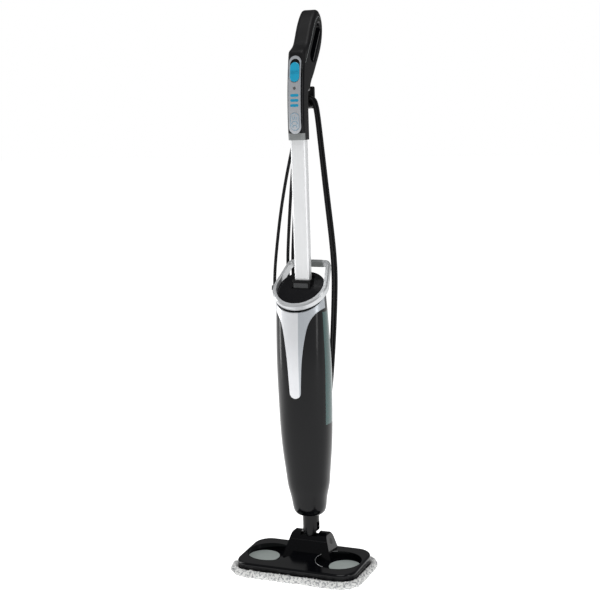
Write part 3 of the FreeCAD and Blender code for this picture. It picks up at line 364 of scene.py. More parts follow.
@dataclass(frozen=True)
class SmokedTank(Finish):
    """Smoked, slightly green translucent tank plastic."""

    colour: Colour = (0.006, 0.020, 0.022)

    def build(self, shader: Shader) -> None:
        """Dark glossy plastic that lets some light through, with a painted highlight that makes it lighter
        towards its edge walls.
        """
        drift = shader.cloudy(14.0, 2.0)
        # Painted highlight: from 48 mm in X the colour turns lighter green, standing in for light caught
        # along the tank's edge.
        painted_highlight_edge = shader.axis(0).clamped(0.048, 0.0535)
        tone = shader.mixed(drift, shade(self.colour, 0.8), shade(self.colour, 1.3))
        shader.vary(Base_Color=shader.mixed(painted_highlight_edge * 0.8, tone, (0.035, 0.11, 0.105)))
        shader.vary(Roughness=drift * 0.06 + 0.05)
        shader.constants(Transmission_Weight=0.2, IOR=1.4, Coat_Weight=0.2, Coat_Roughness=0.05)
        shader.bumped(shader.cloudy(45.0, 1.0), 0.0001, 0.3)


@dataclass(frozen=True)
class Microfibre(Finish):
    """White tufted cloth with grey flecks."""

    light: Colour = (0.88, 0.88, 0.865)
    grey: Colour = (0.27, 0.28, 0.295)

    def build(self, shader: Shader) -> None:
        """Fibres, flecks and a soft sheen."""
        patch = shader.cloudy(210.0, 5.0)
        fibre = shader.cloudy(1.0, 3.0, shader.stretched((2200.0, 2200.0, 900.0)))
        fleck = patch.clamped(0.49, 0.57)
        base = shader.mixed(fibre, shade(self.light, 0.86), self.light)
        shader.vary(Base_Color=shader.mixed(fleck * 0.85, base, self.grey))
        shader.vary(Roughness=fibre * 0.1 + 0.85)
        shader.constants(Sheen_Weight=0.35, Sheen_Roughness=0.5)
        shader.bumped(fibre, 0.0004, 0.7)


@dataclass(frozen=True)
class HookFabric(Finish):
    """Black hook tape: rows of tiny hooks."""

    colour: Colour = (0.03, 0.03, 0.032)

    def build(self, shader: Shader) -> None:
        """A field of small raised hooks, with painted shade between them and painted highlight on their tops.
        """
        dots = 1 - shader.cells(700.0)
        # Painted shade and highlight: the colour is darker between the hooks and lighter on their tops.
        shader.vary(Base_Color=shader.mixed(dots, shade(self.colour, 0.5), shade(self.colour, 2.0)))
        shader.vary(Roughness=dots * 0.2 + 0.7)
        shader.bumped(dots, 0.0004, 1.0)


@dataclass(frozen=True)
class CircuitBoard(Finish):
    """Green lacquered board with fine tracks."""

    colour: Colour = (0.015, 0.13, 0.05)

    def build(self, shader: Shader) -> None:
        """Tracks under the lacquer."""
        tracks = shader.cells(420.0, shader.stretched((1.0, 1.0, 0.35))).clamped(0.30, 0.36)
        shader.vary(Base_Color=shader.mixed(tracks, shade(self.colour, 2.2), self.colour))
        shader.vary(Roughness=tracks * 0.2 + 0.25)
        shader.bumped(tracks, 0.00005, 0.5)


@dataclass(frozen=True)
class StudioFloor(Finish):
    """Plain pale floor."""

    colour: Colour = (0.95, 0.95, 0.95)

    def build(self, shader: Shader) -> None:
        """Almost even, with a whisper of tone."""
        drift = shader.cloudy(1.5, 2.0)
        shader.vary(Base_Color=shader.mixed(drift, shade(self.colour, 0.985), self.colour))
        shader.constants(Roughness=0.9, Emission_Color=(1.0, 1.0, 1.0), Emission_Strength=0.8)


GLOSS_BLACK = Plastic("gloss_black", (0.002, 0.0022, 0.003), 0.15, Texture.POLISHED, 0.0, 1.3)
SATIN_BLACK = Plastic("satin_black", (0.003, 0.003, 0.0035), 0.38, Texture.SPARK_ERODED, 0.0, 1.26)
SADDLE_BLACK = Plastic("saddle_black", (0.003, 0.003, 0.004), 0.2, Texture.SATIN, 0.0, 1.3)
SOFT_BLACK = Plastic("soft_black", (0.004, 0.004, 0.0045), 0.48, Texture.SPARK_ERODED, 0.0, 1.26)
MID_GREY = Plastic("mid_grey", (0.19, 0.20, 0.20), 0.45, Texture.SPARK_ERODED)
DARK_GREY = Plastic("dark_grey", (0.055, 0.058, 0.060), 0.35, Texture.SATIN)
# Painted reflection: the dishes' light grey-green stands in for the pale surround reflected in their glossy
# black floors.
DISH_PAINTED_REFLECTION = Plastic("dish_painted_reflection", (0.35, 0.39, 0.375), 0.38, Texture.SATIN)
SHEATH = Plastic("cord_sheath", (0.004, 0.004, 0.0045), 0.4, Texture.SATIN, 0.0, 1.26)
BLUE = Plastic("blue", (0.010, 0.27, 0.43), 0.20, Texture.POLISHED, 0.3)
LENS_BLUE = Plastic("lens_blue", (0.008, 0.23, 0.38), 0.16, Texture.POLISHED, 0.3)
LAMP_GREY = Plastic("lamp_grey", (0.07, 0.07, 0.075), 0.2, Texture.POLISHED, 0.5)
HOSE_WHITE = Plastic("hose_white", (0.5, 0.52, 0.52), 0.4, Texture.SATIN)
SILVER = SilverPaint("silver_paint", (0.50, 0.51, 0.52))
# The tongue's second colour is a painted shade for its right facet, from 9 mm in X.
TONGUE_SILVER = SilverPaint("tongue_silver", (0.66, 0.67, 0.69), (0.30, 0.33, 0.36), 0.009)
PANEL_SILVER = SilverPaint("panel_silver", (0.50, 0.52, 0.55), (0.5, 0.5, 0.5))
SOLE_METAL = DrawnMetal("sole_metal", (0.55, 0.56, 0.57), 0.35, 1.0, (300.0, 300.0, 300.0))
POLE_METAL = DrawnMetal("pole_metal", (0.84, 0.85, 0.86), 0.42, 0.55)
STEEL = DrawnMetal("steel", (0.58, 0.58, 0.58), 0.3, 1.0, (500.0, 500.0, 500.0))
BRASS = DrawnMetal("brass", (0.72, 0.56, 0.27), 0.28, 1.0, (400.0, 400.0, 400.0))
TANK = SmokedTank("smoked_tank")
CLOTH = Microfibre("microfibre")
HOOKS = HookFabric("hook_tape")
CIRCUIT = CircuitBoard("circuit")
FLOOR = StudioFloor("studio_floor")

NODE_FINISHES: dict[str, Finish] = {
    "cloth_pad": CLOTH, "hook_and_loop_strips": HOOKS, "sole_plate": SOLE_METAL, "steam_manifold": MID_GREY,
    "head_cover": GLOSS_BLACK, "dish_insert_left": DISH_PAINTED_REFLECTION, "dish_insert_right": DISH_PAINTED_REFLECTION,
    "tilt_axle": STEEL, "axle_caps": SATIN_BLACK, "head_screws": STEEL, "knuckle": SATIN_BLACK,
    "tilt_bushes": BRASS, "swivel_pin": STEEL, "neck_tube": GLOSS_BLACK, "front_shell": GLOSS_BLACK,
    "rear_cover_lower": GLOSS_BLACK, "rear_cover_upper": GLOSS_BLACK, "water_tank": TANK,
    "filler_cap": MID_GREY, "chassis_plate": SATIN_BLACK, "boiler": STEEL, "pump": MID_GREY,
    "circuit_board": CIRCUIT, "pump_hose": HOSE_WHITE, "steam_hose": HOSE_WHITE,
    "lower_cord_hook": SATIN_BLACK, "cord_gland": SATIN_BLACK, "body_screws": STEEL, "carry_ring": SILVER,
    "ribbed_grip": MID_GREY, "saddle_cap": SADDLE_BLACK, "silver_tongue": TONGUE_SILVER,
    "pole": POLE_METAL, "pole_cable": SHEATH, "pole_collar": SATIN_BLACK,
    "pole_release_button": DARK_GREY, "release_spring": STEEL, "control_panel": PANEL_SILVER,
    "status_lens": LAMP_GREY, "level_lenses": LENS_BLUE, "button_spring": STEEL,
    "handle_collar": MID_GREY, "handle_screws": STEEL, "handle_front_shell": GLOSS_BLACK,
    "handle_back_shell": GLOSS_BLACK, "soft_grip": SOFT_BLACK, "grip_loop": GLOSS_BLACK,
    "control_board": CIRCUIT, "hook_retainer": STEEL, "cord_winding": SHEATH, "cord_tail": SHEATH,
    "cord_lead": SHEATH, "cord_clip": SATIN_BLACK, "plug_body": SATIN_BLACK, "plug_pins": BRASS,
    "power_slider": BLUE, "steam_button": PANEL_SILVER,
    "upper_cord_hook": SATIN_BLACK,
}


# ---- mesh helpers ----------------------------------------------------------------------------------------


def give(piece: bpy.types.Object, finish: Finish) -> None:
    """Replace a piece's materials with one finish."""
    piece.data.materials.clear()
    piece.data.materials.append(finish.material())


def linked(name: str, data: bpy.types.ID) -> bpy.types.Object:
    """An object at the origin that shows the data."""
    piece = bpy.data.objects.new(name, data)
    bpy.context.scene.collection.objects.link(piece)
    return piece


def mesh_piece(name: str, points: Iterable[Sequence[float]],
               faces: Iterable[Sequence[int]]) -> bpy.types.Object:
    """A mesh object with outward normals.

    Args:
        name: the piece's name.
        points: its vertices.
        faces: its faces as vertex numbers.

    Returns:
        The object.
    """
    mesh = bpy.data.meshes.new(name)
    mesh.from_pydata([tuple(p) for p in points], [], [tuple(f) for f in faces])
    shape = bmesh.new()
    shape.from_mesh(mesh)
    bmesh.ops.remove_doubles(shape, verts=shape.verts, dist=1e-7)
    bmesh.ops.recalc_face_normals(shape, faces=shape.faces)
    shape.to_mesh(mesh)
    shape.free()
    return linked(name, mesh)


def rounded_by_angle(piece: bpy.types.Object, degrees: float = 35.0) -> None:
    """Shade a piece smooth except across sharp edges."""
    piece.data.set_sharp_from_angle(angle=math.radians(degrees))
    for face in piece.data.polygons:
        face.use_smooth = True


def wire_piece(name: str, points: Sequence[Sequence[float]], radius: float, closed: bool = False,
               finish: Finish = SATIN_BLACK) -> bpy.types.Object:
    """A thin round line through points, as a mesh.

    Args:
        name: the piece's name.
        points: the line's control points.
        radius: half its thickness.
        closed: whether it joins up.
        finish: its finish.

    Returns:
        The mesh object.
    """
    curve = bpy.data.curves.new(name + "_line", "CURVE")
    curve.dimensions = "3D"
    curve.bevel_depth = radius
    curve.bevel_resolution = 2
    curve.resolution_u = 5
    curve.use_fill_caps = True
    spline = curve.splines.new("NURBS")
    spline.points.add(len(points) - 1)
    for target, point in zip(spline.points, points):
        target.co = (*point, 1.0)
    spline.order_u = 3
    spline.use_endpoint_u = not closed
    spline.use_cyclic_u = closed
    holder = linked(name + "_line", curve)
    mesh = bpy.data.meshes.new_from_object(holder.evaluated_get(bpy.context.evaluated_depsgraph_get()))
    bpy.data.objects.remove(holder)
    piece = linked(name, mesh)
    give(piece, finish)
    rounded_by_angle(piece)
    return piece


class GeometryTree:
    """A Geometry Nodes tree with named inputs, turned into a plain mesh."""

    def __init__(self, name: str) -> None:
        """Start the tree with a geometry input and output."""
        self.tree = bpy.data.node_groups.new(name, "GeometryNodeTree")
        self.tree.interface.new_socket("Geometry", in_out="INPUT", socket_type="NodeSocketGeometry")
        self.tree.interface.new_socket("Geometry", in_out="OUTPUT", socket_type="NodeSocketGeometry")
        self.entry = self.tree.nodes.new("NodeGroupInput")
        self.exit = self.tree.nodes.new("NodeGroupOutput")
        self.values: dict[str, Any] = {}

    def size(self, name: str, value: Any, kind: str = "NodeSocketFloat") -> bpy.types.NodeSocket:
        """Add a named input.

        Args:
            name: the input's name.
            value: what the modifier sets it to.
            kind: its socket type.

        Returns:
            The socket inside the tree.
        """
        made = self.tree.interface.new_socket(name, in_out="INPUT", socket_type=kind)
        self.values[made.identifier] = value
        return self.entry.outputs[name]

    def node(self, kind: str, settings: dict[str, Any], inputs: dict[Any, Any]) -> bpy.types.Node:
        """Add a node; a socket given as a value is linked, anything else is a constant."""
        made = self.tree.nodes.new(kind)
        for key, value in settings.items():
            setattr(made, key, value)
        for key, value in inputs.items():
            if isinstance(value, bpy.types.NodeSocket):
                self.tree.links.new(value, made.inputs[key])
            else:
                made.inputs[key].default_value = value
        return made

    def finish(self, instances: bpy.types.NodeSocket, finish: Finish, holder: bpy.types.Object,
               name: str) -> bpy.types.Object:
        """Realize the instances, set the material and read the result as a plain mesh.

        Args:
            instances: the geometry to realize.
            finish: its finish.
            holder: the object that carries the modifier.
            name: the new piece's name.

        Returns:
            The plain mesh object.
        """
        real = self.node("GeometryNodeRealizeInstances", {}, {0: instances})
        dressed = self.node("GeometryNodeSetMaterial", {}, {"Geometry": real.outputs[0],
                                                            "Material": finish.material()})
        self.tree.links.new(dressed.outputs[0], self.exit.inputs[0])
        modifier = holder.modifiers.new(name, "NODES")
        modifier.node_group = self.tree
        for key, value in self.values.items():
            modifier[key] = value
        graph = bpy.context.evaluated_depsgraph_get()
        mesh = bpy.data.meshes.new_from_object(holder.evaluated_get(graph))
        holder.modifiers.remove(modifier)
        piece = linked(name, mesh)
        give(piece, finish)
        return piece


# ---- the camera, the lights and the floor ----------------------------------------------------------------


@dataclass
class Studio:
    """Camera, lights and floor."""

    azimuth: float = 23.16
    distance: float = 2.611
    height: float = 1.037
    yaw: float = 0.19
    pitch: float = 9.78
    roll: float = 1.86
    lens: float = 75.2
    surround: float = 0.24

    def camera(self) -> bpy.types.Object:
        """Put the camera at its height, turned down and slightly rolled."""
        azimuth, pitch, roll = (math.radians(a) for a in (self.azimuth, self.pitch, self.roll))
        heading = azimuth + math.radians(self.yaw)
        place = Vector((self.distance * math.sin(azimuth), -self.distance * math.cos(azimuth), self.height))
        look = Vector((-math.sin(heading) * math.cos(pitch), math.cos(heading) * math.cos(pitch),
                       -math.sin(pitch)))
        right = Vector((math.cos(heading), math.sin(heading), 0.0))
        up = right.cross(look)
        across = right * math.cos(roll) - up * math.sin(roll)
        upward = right * math.sin(roll) + up * math.cos(roll)
        turn = Matrix((across, upward, -look)).transposed()
        data = bpy.data.cameras.new("camera")
        data.lens = self.lens
        data.sensor_width = 36.0
        camera = linked("camera", data)
        camera.matrix_world = Matrix.Translation(place) @ turn.to_4x4()
        bpy.context.scene.camera = camera
        return camera

    @staticmethod
    def panel(name: str, place: Point, target: Point, size: tuple[float, float], power: float) -> None:
        """A soft rectangular light.

        Args:
            name: its name.
            place: where it stands.
            target: the point it faces.
            size: its width and height.
            power: its power in watts.
        """
        data = bpy.data.lights.new(name, "AREA")
        data.shape = "RECTANGLE"
        data.size, data.size_y = size
        data.energy = power
        light = linked(name, data)
        light.location = place
        light.rotation_mode = "QUATERNION"
        light.rotation_quaternion = (Vector(target) - Vector(place)).to_track_quat("-Z", "Y")

    def lights(self) -> None:
        """A bright surround with a long panel on each side and one above."""
        world = bpy.data.worlds.new("studio")
        bpy.context.scene.world = world
        world.use_nodes = True
        nodes, links = world.node_tree.nodes, world.node_tree.links
        backdrop, path = nodes["Background"], nodes.new("ShaderNodeLightPath")
        backdrop.inputs["Color"].default_value = (1.0, 1.0, 1.0, 1.0)
        level = nodes.new("ShaderNodeMapRange")
        level.inputs["To Min"].default_value = self.surround
        level.inputs["To Max"].default_value = 1.0
        links.new(path.outputs["Is Camera Ray"], level.inputs["Value"])
        links.new(level.outputs["Result"], backdrop.inputs["Strength"])
        self.panel("left_panel", (-2.1, -0.15, 1.1), (0.0, 0.0, 0.7), (0.35, 2.4), 18.0)
        self.panel("right_panel", (2.1, -0.7, 1.1), (0.0, 0.0, 0.7), (0.35, 2.0), 9.0)
        self.panel("top_panel", (0.2, -0.8, 2.9), (0.0, 0.0, 0.6), (1.6, 1.6), 38.0)

    @staticmethod
    def floor() -> None:
        """A wide pale floor, which isn't part of the object."""
        half = 14.0
        corners = [(-half, -half, 0), (half, -half, 0), (half, half, 0), (-half, half, 0)]
        piece = mesh_piece("studio_floor", corners, [(0, 1, 2, 3)])
        give(piece, FLOOR)

    def build(self) -> None:
        """Make all of it."""
        bpy.context.scene.view_settings.view_transform = "Standard"
        self.camera()
        self.lights()
        self.floor()


# ---- the mains lead --------------------------------------------------------------------------------------

# Points, in millimetres: the wound band's middle line on each side as (X, Z), then the tail
# out of the gland and the loose end down to the plug as (X, Y, Z).
RIGHT_RUN = ((18.5, 975), (25, 902), (34, 802), (44, 701), (47, 640), (45, 583), (39, 490), (31, 400),
             (22, 335))
LEFT_RUN = ((-23, 335), (-36, 400), (-46, 490), (-53, 583), (-55, 650), (-52, 701), (-43, 802), (-32, 902),
            (-20, 975))
TAIL = ((20, 49, 226.64), (20, 61, 247.43), (20.5, 64.5, 278), (22.5, 62, 306), (27, 60, 338))
LEAD = ((-20, 49, 978), (-28, 41.5, 926), (-40, 35.5, 872), (-51, 31, 818), (-61, 28, 762), (-69, 26, 706),
        (-76, 25, 652), (-80, 26.5, 604), (-76.5, 29, 576), (-71, 31, 556))


@dataclass
class MainsLead:
    """The lead: out of its gland, wound over the two hooks, then hanging at the left down to its plug."""

    diameter: float = 7.0
    length: float = 4.24
    upper_hook: float = 992.0
    lower_hook: float = 300.0
    upper_radius: float = 15.0
    lower_radius: float = 16.0
    hook_steps: int = 6
    band_low: float = 335.0
    band_height: float = 640.0
    points: list[Point] = field(default_factory=list)

    def _round(self, height: float, radius: float, first: float, last: float,
               lanes: tuple[float, float]) -> None:
        """Go round a hook from one angle to another, changing lane on the way."""
        for step in range(self.hook_steps + 1):
            share = step / self.hook_steps
            angle = math.radians(first + (last - first) * share)
            lane = lanes[0] + (lanes[1] - lanes[0]) * share
            self.points.append((radius * math.cos(angle), lane, height + radius * math.sin(angle)))

    def _run(self, line: Iterable[tuple[float, float]], outward: float, lane: float, slack: float) -> None:
        """Follow one side of the band, up or down.

        Args:
            line: the band's middle line in the order it is followed.
            outward: how far this strand lies from that line.
            lane: its depth behind the body.
            slack: how far it bellies out at mid height.
        """
        for x, z in line:
            side = 1.0 if x > 0 else -1.0
            belly = slack * math.sin(math.pi * (z - self.band_low) / self.band_height)
            self.points.append((x + side * (outward + belly), lane, z))

    def route(self) -> list[Point]:
        """The whole route in millimetres, from the gland to the plug."""
        self.points = [tuple(p) for p in TAIL[:-1]]
        up, down = RIGHT_RUN[::-1], LEFT_RUN[::-1]
        # Each turn's outward step and lane on the right, the same on the left, and its slack.
        turns = ((-3.3, 64.5, -3.3, 61.5, -0.8), (3.4, 58.0, 3.4, 55.5, 1.4))
        for outward, right_lane, left_outward, left_lane, slack in turns:
            self._run(up, outward, right_lane, slack)
            self._round(self.upper_hook, self.upper_radius + outward, 20, 160, (right_lane, left_lane))
            self._run(down, left_outward, left_lane, slack)
            self._round(self.lower_hook, self.lower_radius + outward, 200, 340, (left_lane, right_lane - 5))
        self._run(up, 0.4, 51.5, 0.0)
        self._round(self.upper_hook, self.upper_radius, 20, 150, (51.0, 50.0))
        self.points += list(LEAD)
        return self.points

    def build(self) -> None:
        curve = bpy.data.curves.new("mains_lead", "CURVE")
        curve.dimensions = "3D"
        curve.bevel_depth = self.diameter / 2 * MM
        curve.bevel_resolution = 3
        curve.resolution_u = 8
        curve.use_fill_caps = True
        spline = curve.splines.new("NURBS")
        route = self.route()
        spline.points.add(len(route) - 1)
        for target, point in zip(spline.points, route):
            target.co = (*(part * MM for part in point), 1.0)
        spline.order_u = 3
        spline.use_endpoint_u = True
        lead = linked("mains_lead", curve)
        give(lead, SHEATH)
        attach(lead, "mop_body")
        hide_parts("cord_tail", "cord_winding", "cord_lead")
        LOG.info("mains lead: %d route points", len(route))


# ---- the floor cloth -------------------------------------------------------------------------------------


@dataclass
class FloorCloth:
    """The tufted microfibre pad that hugs the head."""

    corner_points: int = 14
    side_points: int = 46
    end_points: int = 22
    lump: float = 0.0021
    tuft_density: float = 90000.0
    tuft_size: float = 0.0015
    tuft_start: float = 0.0048
    corner: float = 0.043
    clearance: float = 0.0002
    fill: float = 0.55
    seed: int = 7
    # Inset from the pad's edge and height, in millimetres: out along the sole, up the side and down inside
    # the rim.
    profile: tuple[tuple[float, float], ...] = (
        (60.0, 0.9), (38.0, 0.7), (20.0, 0.6), (9.0, 0.9), (3.0, 2.6), (-1.5, 5.4), (-4.6, 9.0),
        (-5.4, 12.8), (-4.0, 16.4), (-0.6, 18.8), (3.6, 19.4), (6.7, 17.4), (7.3, 13.0), (7.5, 8.3),
        (20.0, 7.6), (45.0, 7.4), (60.0, 7.4),
    )

    def _outline(self, inset: float) -> list[tuple[float, float]]:
        """The pad's rounded outline, drawn in by the inset, as (X, Y) about its middle."""
        low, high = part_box("cloth_pad")
        half_x, half_y = (high.x - low.x) / 2 - inset, (high.y - low.y) / 2 - inset
        corner = max(self.corner - inset, 0.006)
        line: list[tuple[float, float]] = []
        spans = ((1, 1, self.end_points), (-1, 1, self.side_points), (-1, -1, self.end_points),
                 (1, -1, self.side_points))
        centres = [(sx * (half_x - corner), sy * (half_y - corner)) for sx, sy, _ in spans]
        for number, (cx, cy) in enumerate(centres):
            for step in range(self.corner_points):
                angle = math.pi / 2 * (number + step / (self.corner_points - 1))
                line.append((cx + corner * math.cos(angle), cy + corner * math.sin(angle)))
            nx, ny = centres[(number + 1) % 4]
            turn = math.pi / 2 * (number + 1)
            start = (cx + corner * math.cos(turn), cy + corner * math.sin(turn))
            end = (nx + corner * math.cos(turn), ny + corner * math.sin(turn))
            count = spans[(number + 1) % 4][2]
            for step in range(1, count):
                share = step / count
                line.append((start[0] + (end[0] - start[0]) * share, start[1] + (end[1] - start[1]) * share))
        return line

    def body(self) -> bpy.types.Object:
        """The lumpy pad itself, closed, with its crowned side and its rim round the head."""
        low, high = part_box("cloth_pad")
        middle = (low + high) / 2
        points: list[Point] = []
        rows: list[int] = []
        for inset, height in self.profile:
            outline = self._outline(inset * MM)
            rows.append(len(outline))
            free = max(0.0, min(1.0, (10.0 - inset) / 8.0)) * (0.35 if height < 1.5 else 1.0)
            for x, y in outline:
                place = Vector((middle.x + x, middle.y + y, height * MM))
                bulge = noise.fractal(place * 95.0, 0.8, 2.1, 3) * self.lump * free
                ripple = noise.noise(place * 30.0) * self.lump * 0.9 * free
                away = Vector((x, y, 0.0)).normalized()
                inner = inset > 6.0
                place += away * ((bulge + ripple) * (0.0 if inner else 1.0))
                place.z = max(self.clearance, place.z + bulge * (0.6 if not inner else 0.0))
                points.append(tuple(place))
        width = rows[0]
        faces = []
        for row in range(len(rows) - 1):
            for step in range(width):
                a, b = row * width + step, row * width + (step + 1) % width
                faces.append((a, b, b + width, a + width))
        faces.append(tuple(range(width)))
        faces.append(tuple((len(rows) - 1) * width + step for step in range(width)))
        piece = mesh_piece("floor_cloth", points, faces)
        give(piece, CLOTH)
        rounded_by_angle(piece, 60.0)
        return piece

    def tufts(self, pad: bpy.types.Object) -> bpy.types.Object:
        """Soft tufts scattered over the pad's outside."""
        shape = GeometryTree("tufts")
        density = shape.size("Tufts per square metre", self.tuft_density)
        scale = shape.size("Tuft size", self.tuft_size)
        seed = shape.size("Seed", self.seed, "NodeSocketInt")
        position = shape.node("GeometryNodeInputPosition", {}, {})
        split = shape.node("ShaderNodeSeparateXYZ", {}, {0: position.outputs[0]})
        above = shape.node("FunctionNodeCompare", {"data_type": "FLOAT", "operation": "GREATER_THAN"},
                           {"A": split.outputs[2], "B": self.tuft_start})
        scatter = shape.node("GeometryNodeDistributePointsOnFaces", {},
                             {"Mesh": shape.entry.outputs[0], "Selection": above.outputs[0],
                              "Density": density, "Seed": seed})
        tuft = shape.node("GeometryNodeMeshIcoSphere", {}, {"Radius": scale, "Subdivisions": 1})
        spin = shape.node("FunctionNodeRandomValue", {"data_type": "FLOAT_VECTOR"},
                          {"Min": (-0.7, -0.7, 0.0), "Max": (0.7, 0.7, 6.28), "Seed": seed})
        turned = shape.node("FunctionNodeRotateRotation", {"rotation_space": "LOCAL"},
                            {"Rotation": scatter.outputs["Rotation"], "Rotate By": spin.outputs[0]})
        stretch = shape.node("FunctionNodeRandomValue", {"data_type": "FLOAT_VECTOR"},
                             {"Min": (0.55, 0.55, 1.0), "Max": (0.95, 0.95, 2.1), "Seed": seed})
        placed = shape.node("GeometryNodeInstanceOnPoints", {},
                            {"Points": scatter.outputs["Points"], "Instance": tuft.outputs["Mesh"],
                             "Rotation": turned.outputs[0], "Scale": stretch.outputs[0]})
        piece = shape.finish(placed.outputs[0], CLOTH, pad, "cloth_tufts")
        for face in piece.data.polygons:
            face.use_smooth = True
        return piece

    def build(self) -> None:
        """Make the pad and its tufts, and let them stand for the CAD tray."""
        pad = self.body()
        base = self._outside(pad)
        tufts = self.tufts(base)
        bpy.data.objects.remove(base)
        for piece in (pad, tufts):
            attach(piece, "floor_head")
        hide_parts("cloth_pad")
        LOG.info("cloth: %d faces, tufts: %d faces", len(pad.data.polygons), len(tufts.data.polygons))

    def _outside(self, pad: bpy.types.Object) -> bpy.types.Object:
        """A copy of the pad's outer strip, for the tufts to stand on."""
        mesh = pad.data.copy()
        shape = bmesh.new()
        shape.from_mesh(mesh)
        low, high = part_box("cloth_pad")
        middle = (low + high) / 2
        inner = [f for f in shape.faces
                 if (Vector((f.calc_center_median() - middle)[:2]).dot(Vector(f.normal[:2])) < 0.0
                     and abs(f.normal.z) < 0.9) or (f.normal.z > 0.9 and f.calc_center_median().z < 0.012)
                 or f.calc_center_median().z < 0.0012]
        bmesh.ops.delete(shape, geom=inner, context="FACES")
        shape.to_mesh(mesh)
        shape.free()
        return linked("tuft_base", mesh)


# ---- trim ------------------------------------------------------------------------------------------------


@dataclass
class CarryGrip:
    """Ribs round the soft sleeve on the ring's back bar."""

    rim_y: float = -60.5
    rim_z: float = 578.0
    tilt: float = 39.5
    inner: float = 125.5
    outer: float = 134.0
    half: float = 8.0
    bevel: float = 2.6
    proud: float = 0.45
    rib_width: float = 1.3
    pitch: float = 3.0
    count: int = 19

    def _section(self, grow: float) -> list[tuple[float, float]]:
        """The sleeve's section as (Y, Z), grown outwards."""
        t0, t1, n, b = self.inner - grow, self.outer + grow, self.half + grow, self.bevel
        flat = [(t0, -n), (t1 - b, -n), (t1, -n + b), (t1, n - b), (t1 - b, n), (t0, n)]
        cos, sin = math.cos(math.radians(self.tilt)), math.sin(math.radians(self.tilt))
        return [(self.rim_y + t * cos - s * sin, self.rim_z + t * sin + s * cos) for t, s in flat]

    def build(self) -> None:
        """One rib hoop, repeated along the bar."""
        outline = self._section(self.proud)
        narrow = self._section(self.proud - 0.35)
        base = self._section(-0.3)
        x0 = -(self.count - 1) / 2 * self.pitch
        points, faces = [], []
        stations = ((-0.5, base), (-0.5, narrow), (-0.28, outline), (0.28, outline), (0.5, narrow),
                    (0.5, base))
        for share, section in stations:
            points += [((x0 + share * self.rib_width) * MM, y * MM, z * MM) for y, z in section]
        size, rows = len(outline), len(stations)
        for row in range(rows):
            for step in range(size):
                a, b = row * size + step, row * size + (step + 1) % size
                c, d = ((row + 1) % rows) * size + (step + 1) % size, ((row + 1) % rows) * size + step
                faces.append((a, b, c, d))
        hoop = mesh_piece("rib_hoop", points, faces)
        shape = GeometryTree("ribs")
        count = shape.size("Ribs", self.count, "NodeSocketInt")
        pitch = shape.size("Pitch", self.pitch * MM)
        offset = shape.node("ShaderNodeCombineXYZ", {}, {0: pitch})
        line = shape.node("GeometryNodeMeshLine", {}, {"Count": count, "Offset": offset.outputs[0]})
        placed = shape.node("GeometryNodeInstanceOnPoints", {},
                            {"Points": line.outputs[0], "Instance": shape.entry.outputs[0]})
        ribs = shape.finish(placed.outputs[0], MID_GREY, hoop, "grip_ribs")
        bpy.data.objects.remove(hoop)
        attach(ribs, "mop_body")
        LOG.info("carry grip: %d ribs", self.count)


@dataclass
class ControlTrim:
    """Marks on the control panel: the steam button's outline and its generic steam mark."""

    bow_radius: float = 650.0
    bow_y: float = 631.5
    bow_z: float = 960.0
    button_z: float = 961.0
    button_width: float = 20.4
    button_length: float = 37.0
    proud: float = 1.15
    outline_width: float = 0.32
    mark_width: float = 0.38

    def _on_bow(self, x: float, z: float, proud: float) -> Point:
        """A point on the bowed front, standing proud of the housing's face."""
        reach = self.bow_radius + proud
        y = self.bow_y - math.sqrt(reach ** 2 - (z - self.bow_z) ** 2)
        return x * MM, y * MM, z * MM

    def _pill(self, grow: float, count: int = 12) -> list[tuple[float, float]]:
        """The button's outline as (X, Z), grown outwards."""
        radius = self.button_width / 2 + grow
        half = (self.button_length - self.button_width) / 2
        ends = []
        for end, start in ((1, 0.0), (-1, 180.0)):
            for step in range(count + 1):
                angle = math.radians(start + 180.0 * step / count)
                ends.append((radius * math.cos(angle), self.button_z + end * half + radius * math.sin(angle)))
        return ends

    def outline(self) -> None:
        """A thin blue line round the button, set in its face."""
        points = [self._on_bow(x, z, self.proud) for x, z in self._pill(-1.0)]
        ring = wire_piece("button_outline", points, self.outline_width * MM, True, LENS_BLUE)
        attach(ring, "steam_button")

    def mark(self) -> None:
        """Three rising wisps over a small cloud, the usual mark for steam."""
        strokes: list[list[tuple[float, float]]] = []
        for column, (lean, top) in enumerate(((-1.6, 9.8), (0.0, 12.2), (1.6, 9.8))):
            x = (column - 1) * 3.4
            strokes.append([(x, 3.6), (x + 0.9, 5.4), (x - 0.5 + lean * 0.5, 7.2), (x + lean, top)])
        for drop, grow in ((0.0, 1.0), (-6.8, 0.72)):
            cloud = []
            for step in range(29):
                angle = math.pi * (1.18 - 1.36 * step / 28)
                wave = 1.0 + 0.17 * math.cos(angle * 6.0)
                across, above = 6.0 * grow * wave * math.cos(angle), 4.3 * grow * wave * math.sin(angle)
                cloud.append((across, -3.6 + drop + above))
            strokes.append(cloud)
        for number, stroke in enumerate(strokes):
            points = [self._on_bow(x, self.button_z + z, self.proud) for x, z in stroke]
            wisp = wire_piece(f"steam_mark_{number}", points, self.mark_width * MM, False, LENS_BLUE)
            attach(wisp, "steam_button")

    def build(self) -> None:
        """Make the outline and the mark."""
        self.outline()
        self.mark()
        LOG.info("control marks made")


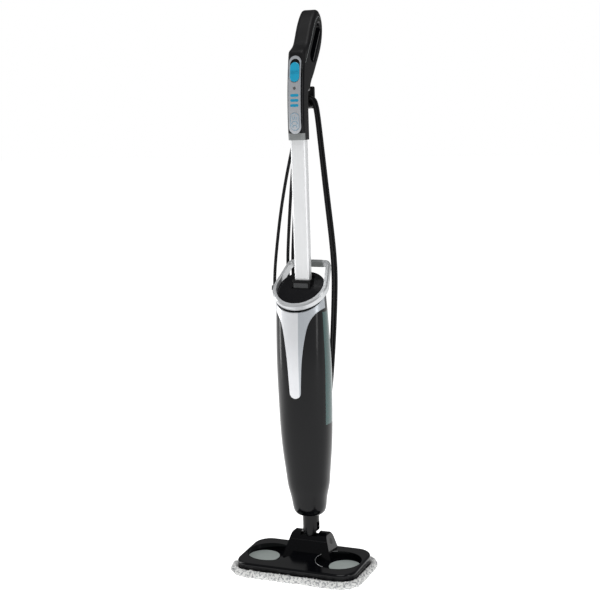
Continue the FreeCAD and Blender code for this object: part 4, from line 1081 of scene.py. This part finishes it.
@dataclass
class GripSeamHighlight:
    """The parting line between the soft grip and the loop's hard shell, on both sides, drawn pale as a
    painted highlight along that edge.
    """

    line: tuple[tuple[float, float], ...] = (
        (4.2, 1079), (24, 1106), (43.5, 1134), (57, 1156), (68.5, 1169.5), (79, 1175), (88, 1173), (94, 1166))
    half: float = 18.4
    width: float = 0.45

    def build(self) -> None:
        """One thin line on each side."""
        for side, name in ((-1, "left"), (1, "right")):
            points = [(side * self.half * MM, y * MM, z * MM) for y, z in self.line]
            # The line's pale grey is a painted highlight on the parting edge.
            seam = wire_piece(f"grip_seam_{name}", points, self.width * MM, False, MID_GREY)
            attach(seam, "mop_body")
        LOG.info("grip seams made")


@dataclass
class DishRimHighlight:
    """A painted highlight: the bright line on the right dish's inner rim."""

    centre_x: float = 80.0
    centre_y: float = -45.0
    long: float = 50.6
    short: float = 46.6
    deck: float = 34.8
    rise: float = 0.0384
    first_angle: float = 112.0
    sweep: float = 136.0
    steps: int = 24
    width: float = 0.55

    def build(self) -> None:
        """An arc that follows the rim."""
        points = []
        for step in range(self.steps + 1):
            angle = math.radians(self.first_angle + self.sweep * step / self.steps)
            x = self.centre_x + self.long * math.cos(angle)
            y = self.centre_y + self.short * math.sin(angle)
            points.append((x * MM, y * MM, (self.deck + (y - self.centre_y) * self.rise) * MM))
        # Painted highlight along the rim, drawn as a thin silver line.
        rim = wire_piece("dish_rim", points, self.width * MM, False, SILVER)
        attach(rim, "floor_head")
        LOG.info("dish rim made")


class CadDressing:
    """Finishes for the CAD nodes."""

    @staticmethod
    def build() -> None:
        """Give every CAD node its finish."""
        for name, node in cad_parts.items():
            finish = NODE_FINISHES.get(name, DARK_GREY)
            for index in range(len(node.material_slots)):
                node.material_slots[index].material = finish.material()
            if not node.material_slots:
                node.data.materials.append(finish.material())
        LOG.info("%d CAD nodes dressed", len(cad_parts))


def main() -> None:
    """Build the studio and each sub-assembly in order."""
    logging.basicConfig(level=logging.INFO, format="%(name)s: %(message)s")
    Studio().build()
    MainsLead().build()
    CadDressing.build()
    FloorCloth().build()
    CarryGrip().build()
    ControlTrim().build()
    GripSeamHighlight().build()
    DishRimHighlight().build()


if __name__ == "__main__":
    main()
